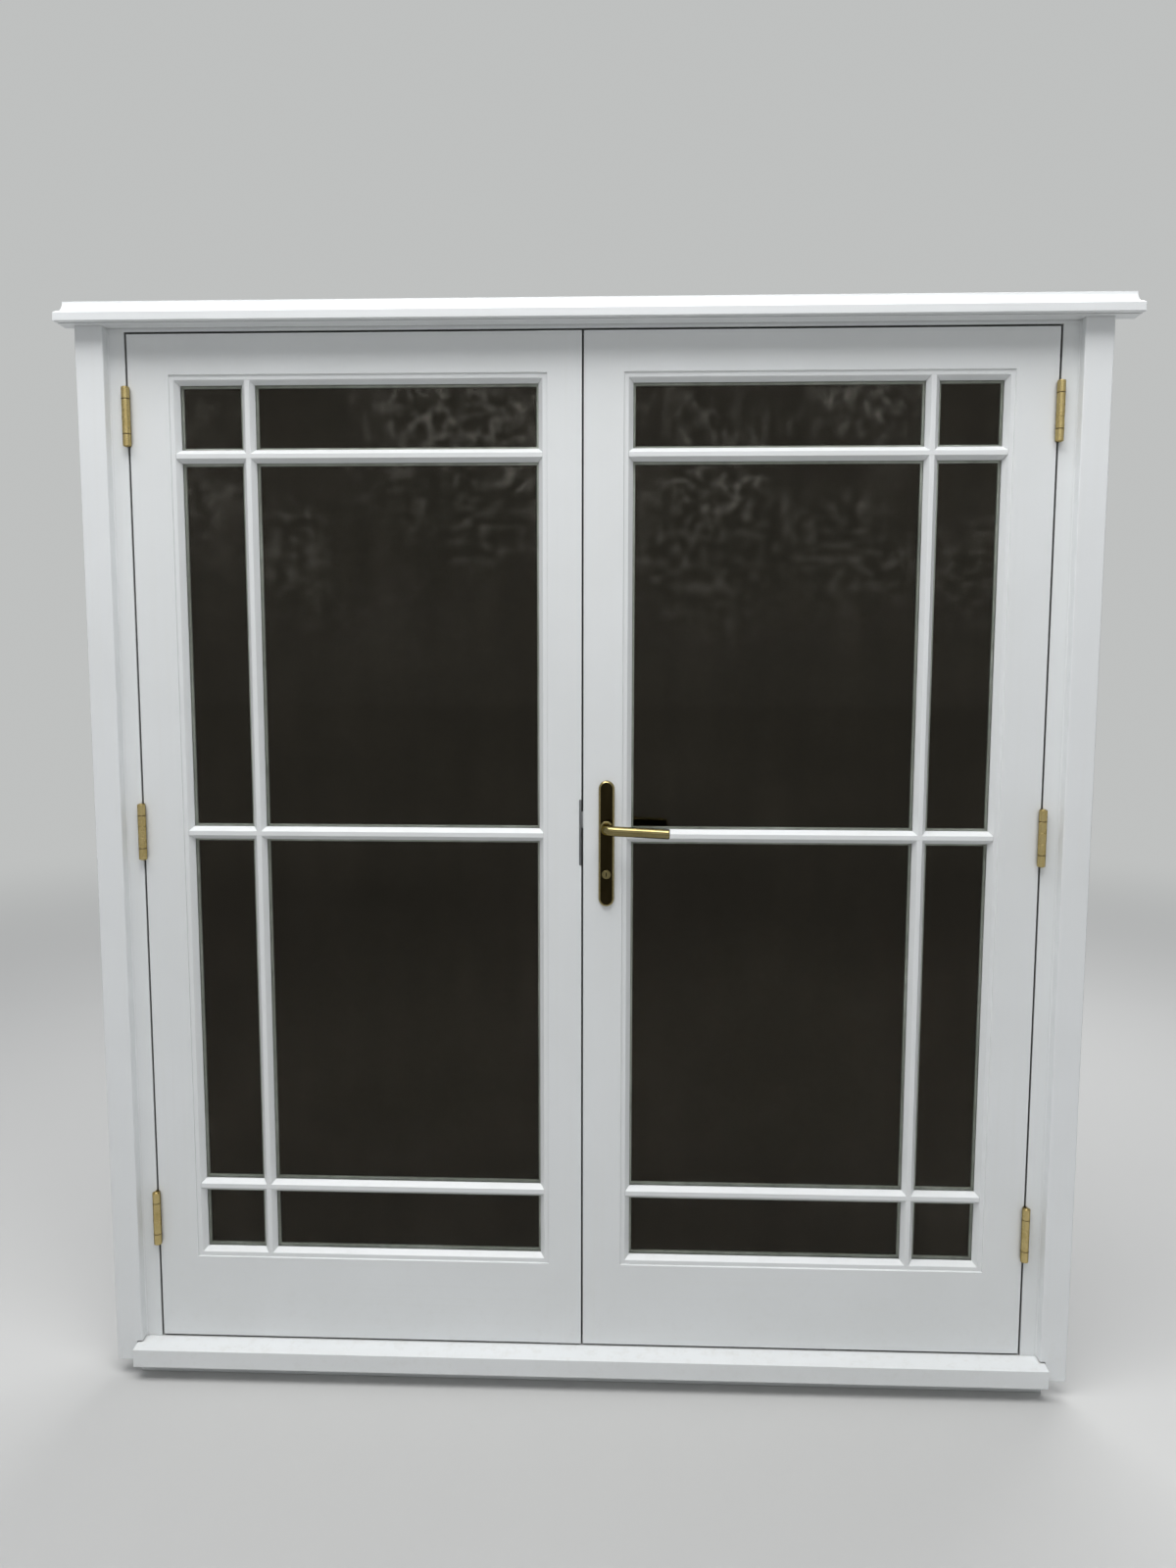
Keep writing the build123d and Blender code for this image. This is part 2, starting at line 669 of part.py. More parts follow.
def lock_set():
    """All the lock pieces in the master leaf and the cuts that they need in its stile."""
    pieces = {}
    case_block, case = case_shell(master_edge + case_depth + case_front_set, case_bottom, case_top)
    hub = rod((spindle_x, -far, spindle_height), (0, 1, 0), spindle_side / 2 * 1.42 + spindle_hole_play,
              leaf_thickness + 2 * far)
    keyway = cylinder_shape(0, leaf_thickness, cylinder_play, True)
    bolt_tools = []
    bolts = []
    for z in (plate_bottom + plate_bolt_inset, plate_top - plate_bolt_inset):
        start = -plate_thickness + 2.5
        end = leaf_thickness + plate_thickness
        shank = rod((spindle_x, start, z), (0, 1, 0), plate_bolt_radius, end - start)
        head_plane = Plane(origin=(spindle_x, end, z), z_dir=(0, -1, 0))
        head = loft([head_plane * Circle(plate_bolt_head),
                     head_plane.offset(2.2) * Circle(plate_bolt_radius)])
        bolts.append(shank + head)
        bolt_tools.append(shank + head)
    pieces["backplate_screws"] = bolts
    pieces["outside_backplate"] = [backplate(-plate_thickness, 0.0, bolt_tools)]
    pieces["inside_backplate"] = [backplate(leaf_thickness, leaf_thickness + plate_thickness,
                                            bolt_tools)]
    lock_cases = [cut(case, hub, keyway, *bolt_tools)]
    body = cylinder_shape(0, leaf_thickness, 0.0, True)
    for y0, y1 in ((-plate_thickness - cylinder_proud, 0),
                   (leaf_thickness, leaf_thickness + plate_thickness + cylinder_proud)):
        body = body + cylinder_shape(y0, y1, 0.0, False)
    outer_end = -plate_thickness - cylinder_proud - plug_proud
    inner_end = leaf_thickness + plate_thickness + cylinder_proud + plug_proud
    bore = rod((spindle_x, outer_end - 1, cylinder_z), (0, 1, 0), plug_radius + plug_play,
               inner_end - outer_end + 2)
    pieces["cylinder_body"] = [body - bore]
    plug = rod((spindle_x, outer_end, cylinder_z), (0, 1, 0), plug_radius, inner_end - outer_end)
    pieces["cylinder_plug"] = [cut(plug, key_slot(outer_end, 1), key_slot(inner_end, -1))]
    pieces["outside_lever"] = [lever_shape(-plate_thickness, -1)]
    pieces["inside_lever"] = [lever_shape(leaf_thickness + plate_thickness, 1)]
    half = spindle_side / 2
    spindle = block(spindle_x - half, spindle_x + half, -plate_thickness - 25.0,
                    leaf_thickness + plate_thickness + 25.0, spindle_height - half,
                    spindle_height + half)
    turn_axis = Axis((spindle_x, 0, spindle_height), (0, 1, 0))
    spindle = spindle.rotate(turn_axis, lever_droop)
    pieces["spindle"] = [spindle]
    inner_half = case_thickness / 2 - case_wall - 0.5
    follower = rod((spindle_x, lock_plane - inner_half, spindle_height), (0, 1, 0),
                   follower_radius, 2 * inner_half)
    socket = block(spindle_x - half - spindle_play, spindle_x + half + spindle_play, -far,
                   leaf_thickness, spindle_height - half - spindle_play,
                   spindle_height + half + spindle_play).rotate(turn_axis, lever_droop)
    pieces["lock_follower"] = [follower - socket]
    pieces["latch_bolt"] = [latch_shape()]
    pieces["dead_bolt"] = [block(master_edge + 0.3, bolt_tail, lock_plane - bolt_thickness / 2,
                                 lock_plane + bolt_thickness / 2, bolt_middle - bolt_height / 2,
                                 bolt_middle + bolt_height / 2)]
    rounds, cases, case_blocks, holes = [], [], [], []
    for z in round_bolt_heights:
        rounds.append(rod((master_edge + 0.3, lock_plane, z), (1, 0, 0), round_bolt_radius,
                          round_bolt_length))
        holes.append(rod((master_edge - 2, lock_plane, z), (1, 0, 0),
                         round_bolt_radius + round_bolt_play, faceplate_thickness + 4))
        outer, shell = case_shell(master_edge + bolt_case_depth, z - bolt_case_half,
                                  z + bolt_case_half)
        cases.append(shell)
        case_blocks.append(outer)
    pieces["multipoint_bolts"] = rounds
    pieces["lock_cases"] = lock_cases + cases
    strip = block(master_edge, faceplate_back, faceplate_front_y, faceplate_back_y,
                  faceplate_bottom, faceplate_top)
    latch_hole = block(master_edge - 1, faceplate_back + 1,
                       lock_plane - latch_thickness / 2 - bolt_play,
                       lock_plane + latch_thickness / 2 + bolt_play,
                       latch_middle - latch_height / 2 - bolt_play,
                       latch_middle + latch_height / 2 + bolt_play)
    bolt_hole = block(master_edge - 1, faceplate_back + 1,
                      lock_plane - bolt_thickness / 2 - bolt_play,
                      lock_plane + bolt_thickness / 2 + bolt_play,
                      bolt_middle - bolt_height / 2 - bolt_play,
                      bolt_middle + bolt_height / 2 + bolt_play)
    pieces["lock_faceplate"] = [cut(strip, latch_hole, bolt_hole, *holes)]
    stile_cuts = [strip, case_block, hub, keyway, *case_blocks, *bolt_tools]
    return pieces, stile_cuts


def keep_set():
    """Latch keep and bolt keeps of the slave leaf on the right side layout, with their cuts."""
    x0, x1 = slave_edge, slave_edge + keep_thickness
    plate = block(x0, x1, -keep_lip, keep_width, keep_bottom, keep_top)
    latch_deep = x0 + latch_throw - meeting_gap + pocket_end_gap
    bolt_deep = x0 + bolt_throw - meeting_gap + pocket_end_gap
    pocket_back = keep_width - 1.5
    side = pocket_end_gap
    latch_pocket = block(x0 - 1, latch_deep, pocket_front, pocket_back,
                         latch_middle - latch_height / 2 - side,
                         latch_middle + latch_height / 2 + side)
    bolt_pocket = block(x0 - 1, bolt_deep, lock_plane - bolt_thickness / 2 - side,
                        lock_plane + bolt_thickness / 2 + side,
                        bolt_middle - bolt_height / 2 - side,
                        bolt_middle + bolt_height / 2 + side)
    keeps = []
    cuts = [plate, latch_pocket, bolt_pocket]
    for z in round_bolt_heights:
        small = block(x0, x1, faceplate_front_y, faceplate_back_y, z - round_keep_half,
                      z + round_keep_half)
        hole = rod((x0 - 1, lock_plane, z), (1, 0, 0), round_bolt_radius + side,
                   bolt_deep - x0 + 1)
        keeps.append(small - hole)
        cuts.extend([small, hole])
    return plate - latch_pocket - bolt_pocket, keeps, cuts


def flush_set(is_top):
    """Flush bolt body, its rod with tab, and the head or sill cuts, on the right side layout."""
    edge = slave_tongue
    y_mid = (tongue_front + leaf_thickness) / 2
    sign = 1 if is_top else -1
    end = leaf_top if is_top else leaf_bottom
    z0, z1 = sorted((end, end - sign * flush_length))
    y0, y1 = y_mid - flush_width / 2, y_mid + flush_width / 2
    outer = block(edge, edge + flush_depth, y0, y1, z0, z1)
    rod_x = edge + flush_inset
    start = end - sign * (flush_rod_rest + flush_rod_length)
    shaft = rod((rod_x, y_mid, start), (0, 0, sign), flush_rod_radius, flush_rod_length)
    tab_middle = end - sign * (flush_length / 2)
    tab_half = flush_tab_height / 2
    tab_side = flush_tab_width / 2
    tab = block(edge + 0.5, rod_x, y_mid - tab_side, y_mid + tab_side, tab_middle - tab_half,
                tab_middle + tab_half)
    bore = rod((rod_x, y_mid, start - sign * 2), (0, 0, sign),
               flush_rod_radius + flush_rod_play, flush_rod_length + 2 + far)
    slot_far = tab_middle + sign * (tab_half + flush_throw + flush_tab_play)
    slot_near = tab_middle - sign * (tab_half + flush_tab_play)
    a, b = sorted((slot_near, slot_far))
    slot = block(edge - 1, rod_x, y_mid - tab_side - flush_tab_play,
                 y_mid + tab_side + flush_tab_play, a, b)
    hole_radius = flush_rod_radius + flush_keep_play
    seat = head_face if is_top else sill_seat
    plate_end = seat + sign * keep_thickness
    p0, p1 = sorted((seat, plate_end))
    half = flush_keep_side / 2
    plate = block(rod_x - half, rod_x + half, y_mid - half + 2, y_mid + half - 2, p0, p1)
    hole = rod((rod_x, y_mid, seat - sign), (0, 0, sign), hole_radius, flush_throw + 3)
    return outer, cut(outer, bore, slot), shaft + tab, plate, hole


# Frame timber
def jamb():
    """Right jamb with its stop, seal groove, hinge recesses and end tenons."""
    points = [(jamb_face, 0), (frame_half_length, 0), (frame_half_length, frame_depth),
              (jamb_face - stop_width, frame_depth), (jamb_face - stop_width, stop_front),
              (jamb_face, stop_front)]
    solid = profile_along_z(points, sill_seat, head_face)
    upstand = block(-frame_half_length, frame_half_length, stop_front, frame_depth + 1,
                    sill_seat - 1, sill_upstand_top)
    stop = block(-frame_half_length, frame_half_length, stop_front, frame_depth + 1,
                 head_face - stop_width, head_face + 1)
    solid = cut(solid, upstand, stop)
    groove = block(jamb_face - seal_width - 3, jamb_face - 3, stop_front - 1,
                   stop_front + seal_groove, sill_upstand_top, head_face - stop_width)
    screws = flap_screws(jamb_face, 1)
    pockets = [flap_pocket(z, jamb_face) for z in hinge_heights]
    solid = cut(solid, groove, *pockets, *screws)
    return solid + jamb_tenon(1, 0.0) + jamb_tenon(-1, 0.0)


def jamb_tenon(way, grow_by):
    """Tenon at the head (way 1) or the sill (way -1) end of the right jamb."""
    start = head_face if way > 0 else sill_seat
    end = start + way * (jamb_tenon_length + grow_by)
    z0, z1 = sorted((start, end))
    return block(jamb_face + jamb_tenon_inset, frame_half_length - jamb_tenon_inset,
                 jamb_tenon_front, jamb_tenon_front + jamb_tenon_thickness, z0, z1)


def both_sides(solid):
    """The solid and its mirror image."""
    return [solid, solid.mirror(Plane.YZ)]


def head(holes):
    """Head of the frame with its stop, seal groove, mortises and bolt hole."""
    points = [(0, head_face), (stop_front, head_face), (stop_front, head_face - stop_width),
              (frame_depth, head_face - stop_width), (frame_depth, head_top), (0, head_top)]
    solid = profile_along_x(points, -frame_half_length, frame_half_length)
    groove = block(-jamb_face + stop_width, jamb_face - stop_width, stop_front - 1,
                   stop_front + seal_groove, head_face - seal_width - 3, head_face - 3)
    return cut(solid, groove, *both_sides(jamb_tenon(1, tenon_end_gap)), *holes)


def sill(holes):
    """Sill with its weathered nose, drip groove, upstand, mortises and bolt hole."""
    groove_back = sill_nose_front + 16.0
    points = [(sill_body_front, 0), (frame_depth, 0), (frame_depth, sill_upstand_top),
              (stop_front, sill_upstand_top), (stop_front, sill_seat),
              (sill_slope_back, sill_seat), (sill_nose_front, sill_nose_top),
              (sill_nose_front, sill_nose_bottom),
              (groove_back - drip_groove_width, sill_nose_bottom),
              (groove_back - drip_groove_width, sill_nose_bottom + drip_groove_depth),
              (groove_back, sill_nose_bottom + drip_groove_depth),
              (groove_back, sill_nose_bottom), (sill_body_front, sill_nose_bottom)]
    solid = profile_along_x(points, -frame_half_length, frame_half_length)
    groove = block(-jamb_face + stop_width, jamb_face - stop_width, stop_front - 1,
                   stop_front + seal_groove, sill_seat + 3, sill_seat + 3 + seal_width)
    return cut(solid, groove, *both_sides(jamb_tenon(-1, tenon_end_gap)), *holes)


def cover_trim():
    """Right cover trim, notched round the end of the sill."""
    board = block(trim_inner, trim_half_width, -trim_thickness, 0, trim_bottom, mould_bottom)
    ease = board.edges().filter_by(Axis.Z).sort_by(Axis.Y)[:2]
    board = chamfer(ease, 1.5)
    notch = block(trim_inner - 1, frame_half_length + trim_notch_gap, -trim_thickness - 1, 1,
                  trim_bottom - 1, sill_seat + trim_notch_gap)
    return board - notch


def head_mould():
    """Drip moulding over the head with plain cut ends."""
    low = mould_bottom
    nose_top = low + mould_nose_height
    top = low + mould_height
    groove_back = mould_nose_front + 18.0
    cove_start = (0, mould_nose_front + mould_slope_run, nose_top + mould_slope_rise)
    cove_end = (0, -mould_top_depth, top - mould_top_fillet)
    cove_middle = (0, (cove_start[1] - mould_top_depth) / 2 + 3.5, cove_start[2] + mould_cove_rise)
    wires = [
        Edge.make_line((0, 0, low), (0, groove_back, low)),
        Edge.make_line((0, groove_back, low), (0, groove_back, low + drip_groove_depth)),
        Edge.make_line((0, groove_back, low + drip_groove_depth),
                       (0, groove_back - drip_groove_width, low + drip_groove_depth)),
        Edge.make_line((0, groove_back - drip_groove_width, low + drip_groove_depth),
                       (0, groove_back - drip_groove_width, low)),
        Edge.make_line((0, groove_back - drip_groove_width, low), (0, mould_nose_front + 1, low)),
        Edge.make_line((0, mould_nose_front + 1, low), (0, mould_nose_front, low + 1)),
        Edge.make_line((0, mould_nose_front, low + 1), (0, mould_nose_front, nose_top)),
        Edge.make_line((0, mould_nose_front, nose_top), cove_start),
        Edge.make_three_point_arc(cove_start, cove_middle, cove_end),
        Edge.make_line(cove_end, (0, -mould_top_depth, top)),
        Edge.make_line((0, -mould_top_depth, top), (0, 0, top)),
        Edge.make_line((0, 0, top), (0, 0, low)),
    ]
    face = Face(Wire(wires))
    solid = Solid.extrude(face, Vector(mould_right - mould_left, 0, 0))
    return solid.moved(Location((mould_left, 0, 0)))


def frame_seals():
    """Compression seals in the grooves of the stops, just clear of the closed leaves."""
    front = leaf_thickness + seal_clearance
    back = stop_front + seal_groove
    side = block(jamb_face - seal_width - 3, jamb_face - 3, front, back, sill_upstand_top,
                 head_face - stop_width)
    span = jamb_face - stop_width
    top = block(-span, span, front, back, head_face - seal_width - 3, head_face - 3)
    bottom = block(-span, span, front, back, sill_seat + 3, sill_seat + 3 + seal_width)
    return both_sides(side) + [top, bottom]


def meeting_seal():
    """Seal strip in the front of the slave leaf's tongue, on the right side layout."""
    x0 = slave_edge - meeting_lap / 2 + 2
    return block(x0, x0 + 4.5, lip_thickness + seal_clearance, tongue_front + 2.0,
                 leaf_bottom + 2, leaf_top - 2)


def build_frame():
    """Write the pieces of the fixed frame."""
    top_set = flush_set(True)
    low_set = flush_set(False)
    plates = [top_set[3], low_set[3]]
    holes = [top_set[4], low_set[4]]
    left_plates = [piece.mirror(Plane.YZ) for piece in plates]
    left_holes = [piece.mirror(Plane.YZ) for piece in holes]
    right = jamb()
    save("right_jamb", right)
    save("left_jamb", right, flip=True)
    save("frame_head", head([left_plates[0], left_holes[0]]))
    save("sill", sill([left_plates[1], left_holes[1]]))
    save("right_cover_trim", cover_trim())
    save("left_cover_trim", cover_trim(), flip=True)
    save("head_drip_mould", head_mould())
    save("frame_weather_seals", *frame_seals())
    flaps, screws = hinge_set(jamb_face, 1, True)
    pins, washers = hinge_pins()
    save("hinge_frame_leaves", *[side for piece in flaps for side in both_sides(piece)])
    save("frame_hinge_screws", *[side for piece in screws for side in both_sides(piece)])
    save("hinge_pins", *[side for piece in pins for side in both_sides(piece)])
    save("hinge_washers", *[side for piece in washers for side in both_sides(piece)])
    save("flush_bolt_keeps", *[cut(plate, hole) for plate, hole in zip(left_plates, left_holes)])


def build_leaf(name, sightline, outline, stile_cuts, flip):
    """Write the timber, glass and hinges of one leaf."""
    opening, hinge_stile, meeting_stile, bottom, top, bars, posts = leaf_timber(sightline, outline)
    hinge_stile, flaps, screws = leaf_hinges(hinge_stile)
    save(name + "_hinge_stile", hinge_stile, flip=flip)
    save(name + "_meeting_stile", cut(meeting_stile, *stile_cuts), flip=flip)
    save(name + "_bottom_rail", bottom, flip=flip)
    save(name + "_top_rail", top, flip=flip)
    for label, bar in zip(("lower", "middle", "upper"), bars):
        save(name + "_" + label + "_bar", bar, flip=flip)
    save(name + "_vertical_bars", *posts, flip=flip)
    outer, spacers, inner, beads = glass_of(opening)
    save(name + "_outer_glass", *outer, flip=flip)
    save(name + "_glass_spacers", *spacers, flip=flip)
    save(name + "_inner_glass", *inner, flip=flip)
    save(name + "_glazing_beads", *beads, flip=flip)
    save(name + "_hinge_leaves", *flaps, flip=flip)
    save(name + "_hinge_screws", *screws, flip=flip)


def build_right_leaf():
    """Write the master leaf with its lock."""
    pieces, stile_cuts = lock_set()
    outline = [(master_edge, 0), (master_meeting_sightline, 0),
               (master_meeting_sightline, leaf_thickness), (master_inner_edge, leaf_thickness),
               (master_inner_edge, lip_thickness), (master_edge, lip_thickness)]
    build_leaf("right", master_meeting_sightline, outline, stile_cuts, False)
    for name, solids in pieces.items():
        save(name, *solids)


def build_left_leaf():
    """Write the slave leaf with its keeps, flush bolts and meeting seal."""
    plate, keeps, cuts = keep_set()
    top_set = flush_set(True)
    low_set = flush_set(False)
    seal = meeting_seal()
    outline = [(slave_edge, 0), (slave_meeting_sightline, 0),
               (slave_meeting_sightline, leaf_thickness), (slave_tongue, leaf_thickness),
               (slave_tongue, tongue_front), (slave_edge, tongue_front)]
    stile_cuts = cuts + [top_set[0], low_set[0], seal]
    build_leaf("left", slave_meeting_sightline, outline, stile_cuts, True)
    save("lock_keeps", plate, *keeps, flip=True)
    save("flush_bolt_bodies", top_set[1], low_set[1], flip=True)
    save("top_flush_bolt", top_set[2], flip=True)
    save("bottom_flush_bolt", low_set[2], flip=True)
    save("meeting_seal", seal, flip=True)


build_frame()
build_right_leaf()
build_left_leaf()
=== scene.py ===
"""Looks for a pair of white painted french doors in their frame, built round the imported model.

Sizes are in metres, X across the opening, Y from the garden to the room, Z up.
"""

import json
import logging
import math
import random
from contextlib import contextmanager
from dataclasses import dataclass, field
from enum import Enum
from typing import Any, Iterable, Iterator, Sequence

import bmesh
import bpy
from mathutils import Matrix, Vector
from mathutils.bvhtree import BVHTree

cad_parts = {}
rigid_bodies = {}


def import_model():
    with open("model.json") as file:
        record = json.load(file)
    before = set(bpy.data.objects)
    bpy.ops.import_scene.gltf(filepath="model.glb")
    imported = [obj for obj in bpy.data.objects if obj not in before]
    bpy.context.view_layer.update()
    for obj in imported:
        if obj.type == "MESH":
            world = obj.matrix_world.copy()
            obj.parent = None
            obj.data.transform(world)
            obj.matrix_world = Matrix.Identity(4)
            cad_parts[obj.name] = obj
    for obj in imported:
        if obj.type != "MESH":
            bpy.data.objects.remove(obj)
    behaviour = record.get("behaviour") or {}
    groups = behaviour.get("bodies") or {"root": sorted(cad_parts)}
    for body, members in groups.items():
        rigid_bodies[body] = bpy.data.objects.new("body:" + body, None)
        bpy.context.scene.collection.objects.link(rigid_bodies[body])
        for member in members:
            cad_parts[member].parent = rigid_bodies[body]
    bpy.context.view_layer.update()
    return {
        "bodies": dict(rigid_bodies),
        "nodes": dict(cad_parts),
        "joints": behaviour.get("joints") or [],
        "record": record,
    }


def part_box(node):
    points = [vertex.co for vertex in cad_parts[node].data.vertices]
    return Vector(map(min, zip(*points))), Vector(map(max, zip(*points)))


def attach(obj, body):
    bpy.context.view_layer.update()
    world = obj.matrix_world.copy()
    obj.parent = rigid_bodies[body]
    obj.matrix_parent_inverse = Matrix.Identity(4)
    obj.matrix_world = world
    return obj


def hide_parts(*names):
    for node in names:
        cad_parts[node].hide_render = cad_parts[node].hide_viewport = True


LOG = logging.getLogger("french_doors")
MM = 0.001
MERGE_DISTANCE = 2e-6
SLIVER = 1e-6
TOUCHING = 0.3 * MM

# Shortest edge that is rounded, in widths of the rounding
SHORTEST_EASED = 1.2

# Angle in degrees under which two faces count as one plane
FLAT = 0.4

# Angles in degrees over which an edge stays sharp
CREASE = 32.0
ROUND_CREASE = 40.0
PLATE_CREASE = 20.0
STRIP_CREASE = 50.0

ACROSS = Vector((1.0, 0.0, 0.0))
INWARD = Vector((0.0, 1.0, 0.0))
UP = Vector((0.0, 0.0, 1.0))

Colour = tuple[float, float, float]
Point = tuple[float, float]
Box = tuple[Vector, Vector]


class Grain(Enum):
    """Way that the timber, and the brush, runs in a board."""

    UPRIGHT = "upright"
    LEVEL = "level"


class Body(str, Enum):
    """The bodies of the frame that pieces ride on."""

    FRAME = "frame"
    RIGHT_DOOR = "right_door"
    LEFT_DOOR = "left_door"
    LEVERS = "lever_set"
    LATCH = "latch"
    KEY_PLUG = "key_plug"
    LOCK_BOLTS = "lock_bolts"
    TOP_FLUSH = "top_flush"
    BOTTOM_FLUSH = "bottom_flush"


class Slot(str, Enum):
    """The record's material slots."""

    TIMBER = "painted_timber"
    TRIM = "painted_trim"
    GLASS = "pane_glass"
    SPACER = "spacer"
    POLISHED_BRASS = "polished_brass"
    HINGE_BRASS = "hinge_brass"
    LOCK_STEEL = "lock_steel"
    CASE_STEEL = "case_steel"
    RUBBER = "seal_rubber"


class NodeSheet:
    """A node tree, with short ways to add and join its nodes."""

    def __init__(self, tree: bpy.types.NodeTree) -> None:
        """Take over a tree.

        Args:
            tree: The tree that the nodes go into.
        """
        self.tree = tree

    def feed(self, socket: bpy.types.NodeSocket, source: Any) -> None:
        """Join a socket to its source, or set it to a constant.

        Args:
            socket: Input socket.
            source: Output socket, number, vector, or colour as three numbers.
        """
        if isinstance(source, bpy.types.NodeSocket):
            self.tree.links.new(source, socket)
        elif socket.type == "RGBA":
            socket.default_value = (*source, 1.0)
        else:
            socket.default_value = source

    def add(self, kind: str, joined: dict[Any, Any] | None = None, **settings: Any) -> Any:
        """Add a node.

        Args:
            kind: Node type.
            joined: Input socket name or index, to a socket that feeds it or a constant.
            settings: Properties of the node.

        Returns:
            The node.
        """
        node = self.tree.nodes.new(kind)
        for key, value in settings.items():
            setattr(node, key, value)
        for key, source in (joined or {}).items():
            self.feed(node.inputs[key], source)
        return node

    def maths(self, operation: str, *values: Any) -> Any:
        """Result of a Math node on sockets and numbers."""
        return self.add("ShaderNodeMath", dict(enumerate(values)), operation=operation).outputs[0]

    def noise(self, vector: Any, scale: float, detail: float, rough: float) -> Any:
        """Noise value from 0 to 1.

        Args:
            vector: Coordinates that the pattern is read at.
            scale: How many features there are in a unit of the coordinates.
            detail: Octaves of finer noise.
            rough: Strength of the finer octaves.

        Returns:
            The socket of the noise value.
        """
        node = self.add("ShaderNodeTexNoise", {"Vector": vector, "Scale": scale,
                                               "Detail": detail, "Roughness": rough})
        return node.outputs["Fac"]

    def ranged(self, value: Any, low: float, high: float, to_low: float = 0.0,
               to_high: float = 1.0, kind: str = "LINEAR") -> Any:
        """A value moved from one range to another and held inside it.

        Args:
            value: Socket of the value.
            low: Value that becomes to_low.
            high: Value that becomes to_high.
            to_low: Result at the low end.
            to_high: Result at the high end.
            kind: Interpolation between the two.

        Returns:
            The socket of the result.
        """
        node = self.add("ShaderNodeMapRange",
                        {"Value": value, "From Min": low, "From Max": high,
                         "To Min": to_low, "To Max": to_high}, interpolation_type=kind)
        return node.outputs["Result"]

    def axis_of(self, vector: Any, axis: str) -> Any:
        """One coordinate of a vector socket."""
        return self.add("ShaderNodeSeparateXYZ", {0: vector}).outputs[axis]

    def seen(self) -> Any:
        """Value that is 1 for rays that look at the surroundings and 0 for those that light."""
        rays = self.add("ShaderNodeLightPath").outputs
        direct = self.maths("MAXIMUM", rays["Is Camera Ray"], rays["Is Transmission Ray"])
        return self.maths("MAXIMUM", direct, rays["Is Glossy Ray"])

    def shown_as(self, lighting: Any, looks: Any, share: Any) -> Any:
        """Mix of the shader that lights the doors and the one that is looked at."""
        mix = self.add("ShaderNodeMixShader",
                       {0: share, 1: lighting.outputs[0], 2: looks.outputs[0]})
        return mix.outputs[0]


class ShaderSheet(NodeSheet):
    """One material's node tree round a Principled shader."""

    def __init__(self, name: str) -> None:
        """Start a material that holds a Principled shader and its output.

        Args:
            name: Name of the material.
        """
        self.material = bpy.data.materials.new(name)
        self.material.use_nodes = True
        super().__init__(self.material.node_tree)
        self.tree.nodes.clear()
        self.shader = self.add("ShaderNodeBsdfPrincipled")
        self.output = self.add("ShaderNodeOutputMaterial", {"Surface": self.shader.outputs[0]})
        self.object_place = self.add("ShaderNodeTexCoord").outputs["Object"]

    def put(self, **sockets: Any) -> None:
        """Set or drive the shader's sockets, named with _ for a space.

        Args:
            sockets: Socket names with their sources or constants.
        """
        for name, source in sockets.items():
            self.feed(self.shader.inputs[name.replace("_", " ")], source)

    def stretched(self, *scale: float) -> Any:
        """Object coordinates scaled along each axis."""
        node = self.add("ShaderNodeMapping", {"Vector": self.object_place, "Scale": scale})
        return node.outputs["Vector"]

    def mixed(self, factor: Any, first: Any, second: Any) -> Any:
        """Colour between two colours or sockets.

        Args:
            factor: Socket from 0, all the first, to 1, all the second.
            first: Colour or socket.
            second: Colour or socket.

        Returns:
            The socket of the mixed colour.
        """
        node = self.add("ShaderNodeMix", {0: factor, 6: first, 7: second}, data_type="RGBA")
        return node.outputs[2]

    def crevice(self, distance: float) -> Any:
        """Value that is 1 on open faces and falls in corners and gaps."""
        node = self.add("ShaderNodeAmbientOcclusion", {"Distance": distance}, samples=4)
        return node.outputs["AO"]

    def upward(self) -> Any:
        """How far the face looks up, from -1 to 1."""
        return self.axis_of(self.add("ShaderNodeNewGeometry").outputs["True Normal"], "Z")

    def relief(self, *layers: tuple[Any, float, float]) -> None:
        """Stack layers of relief on the shader, the lowest first.

        Args:
            layers: For each the socket of its height, the share of it that shows, and the
                height in metres that a value of 1 stands for.
        """
        normal = None
        for height, strength, distance in layers:
            joined = {"Height": height, "Strength": strength, "Distance": distance}
            if normal is not None:
                joined["Normal"] = normal
            normal = self.add("ShaderNodeBump", joined).outputs["Normal"]
        self.put(Normal=normal)


def toned(colour: Colour, tone: Colour) -> Colour:
    """A colour multiplied by a tone."""
    return tuple(c * t for c, t in zip(colour, tone))


@dataclass(frozen=True)
class Stain:
    """A tone that a finish takes where a pattern's value lies in a span."""

    span: tuple[float, float]
    amount: tuple[float, float]
    tone: Colour

    def over(self, sheet: ShaderSheet, pattern: Any, under: Any, base: Colour) -> Any:
        """Lay the stain over a colour.

        Args:
            sheet: The material's sheet.
            pattern: Socket of the pattern's value.
            under: Colour or socket beneath.
            base: The finish's own colour, which the tone multiplies.

        Returns:
            The socket of the stained colour.
        """
        share = sheet.ranged(pattern, *self.span, *self.amount)
        return sheet.mixed(share, under, toned(base, self.tone))


@dataclass(frozen=True)
class Finish:
    """A finish with a name and a colour."""

    name: str
    colour: Colour

    def make(self) -> bpy.types.Material:
        """Build the material."""
        sheet = ShaderSheet(self.name)
        self.coat(sheet)
        return sheet.material

    def coat(self, sheet: ShaderSheet) -> None:
        """Give the shader its colour, gloss and relief."""
        raise NotImplementedError


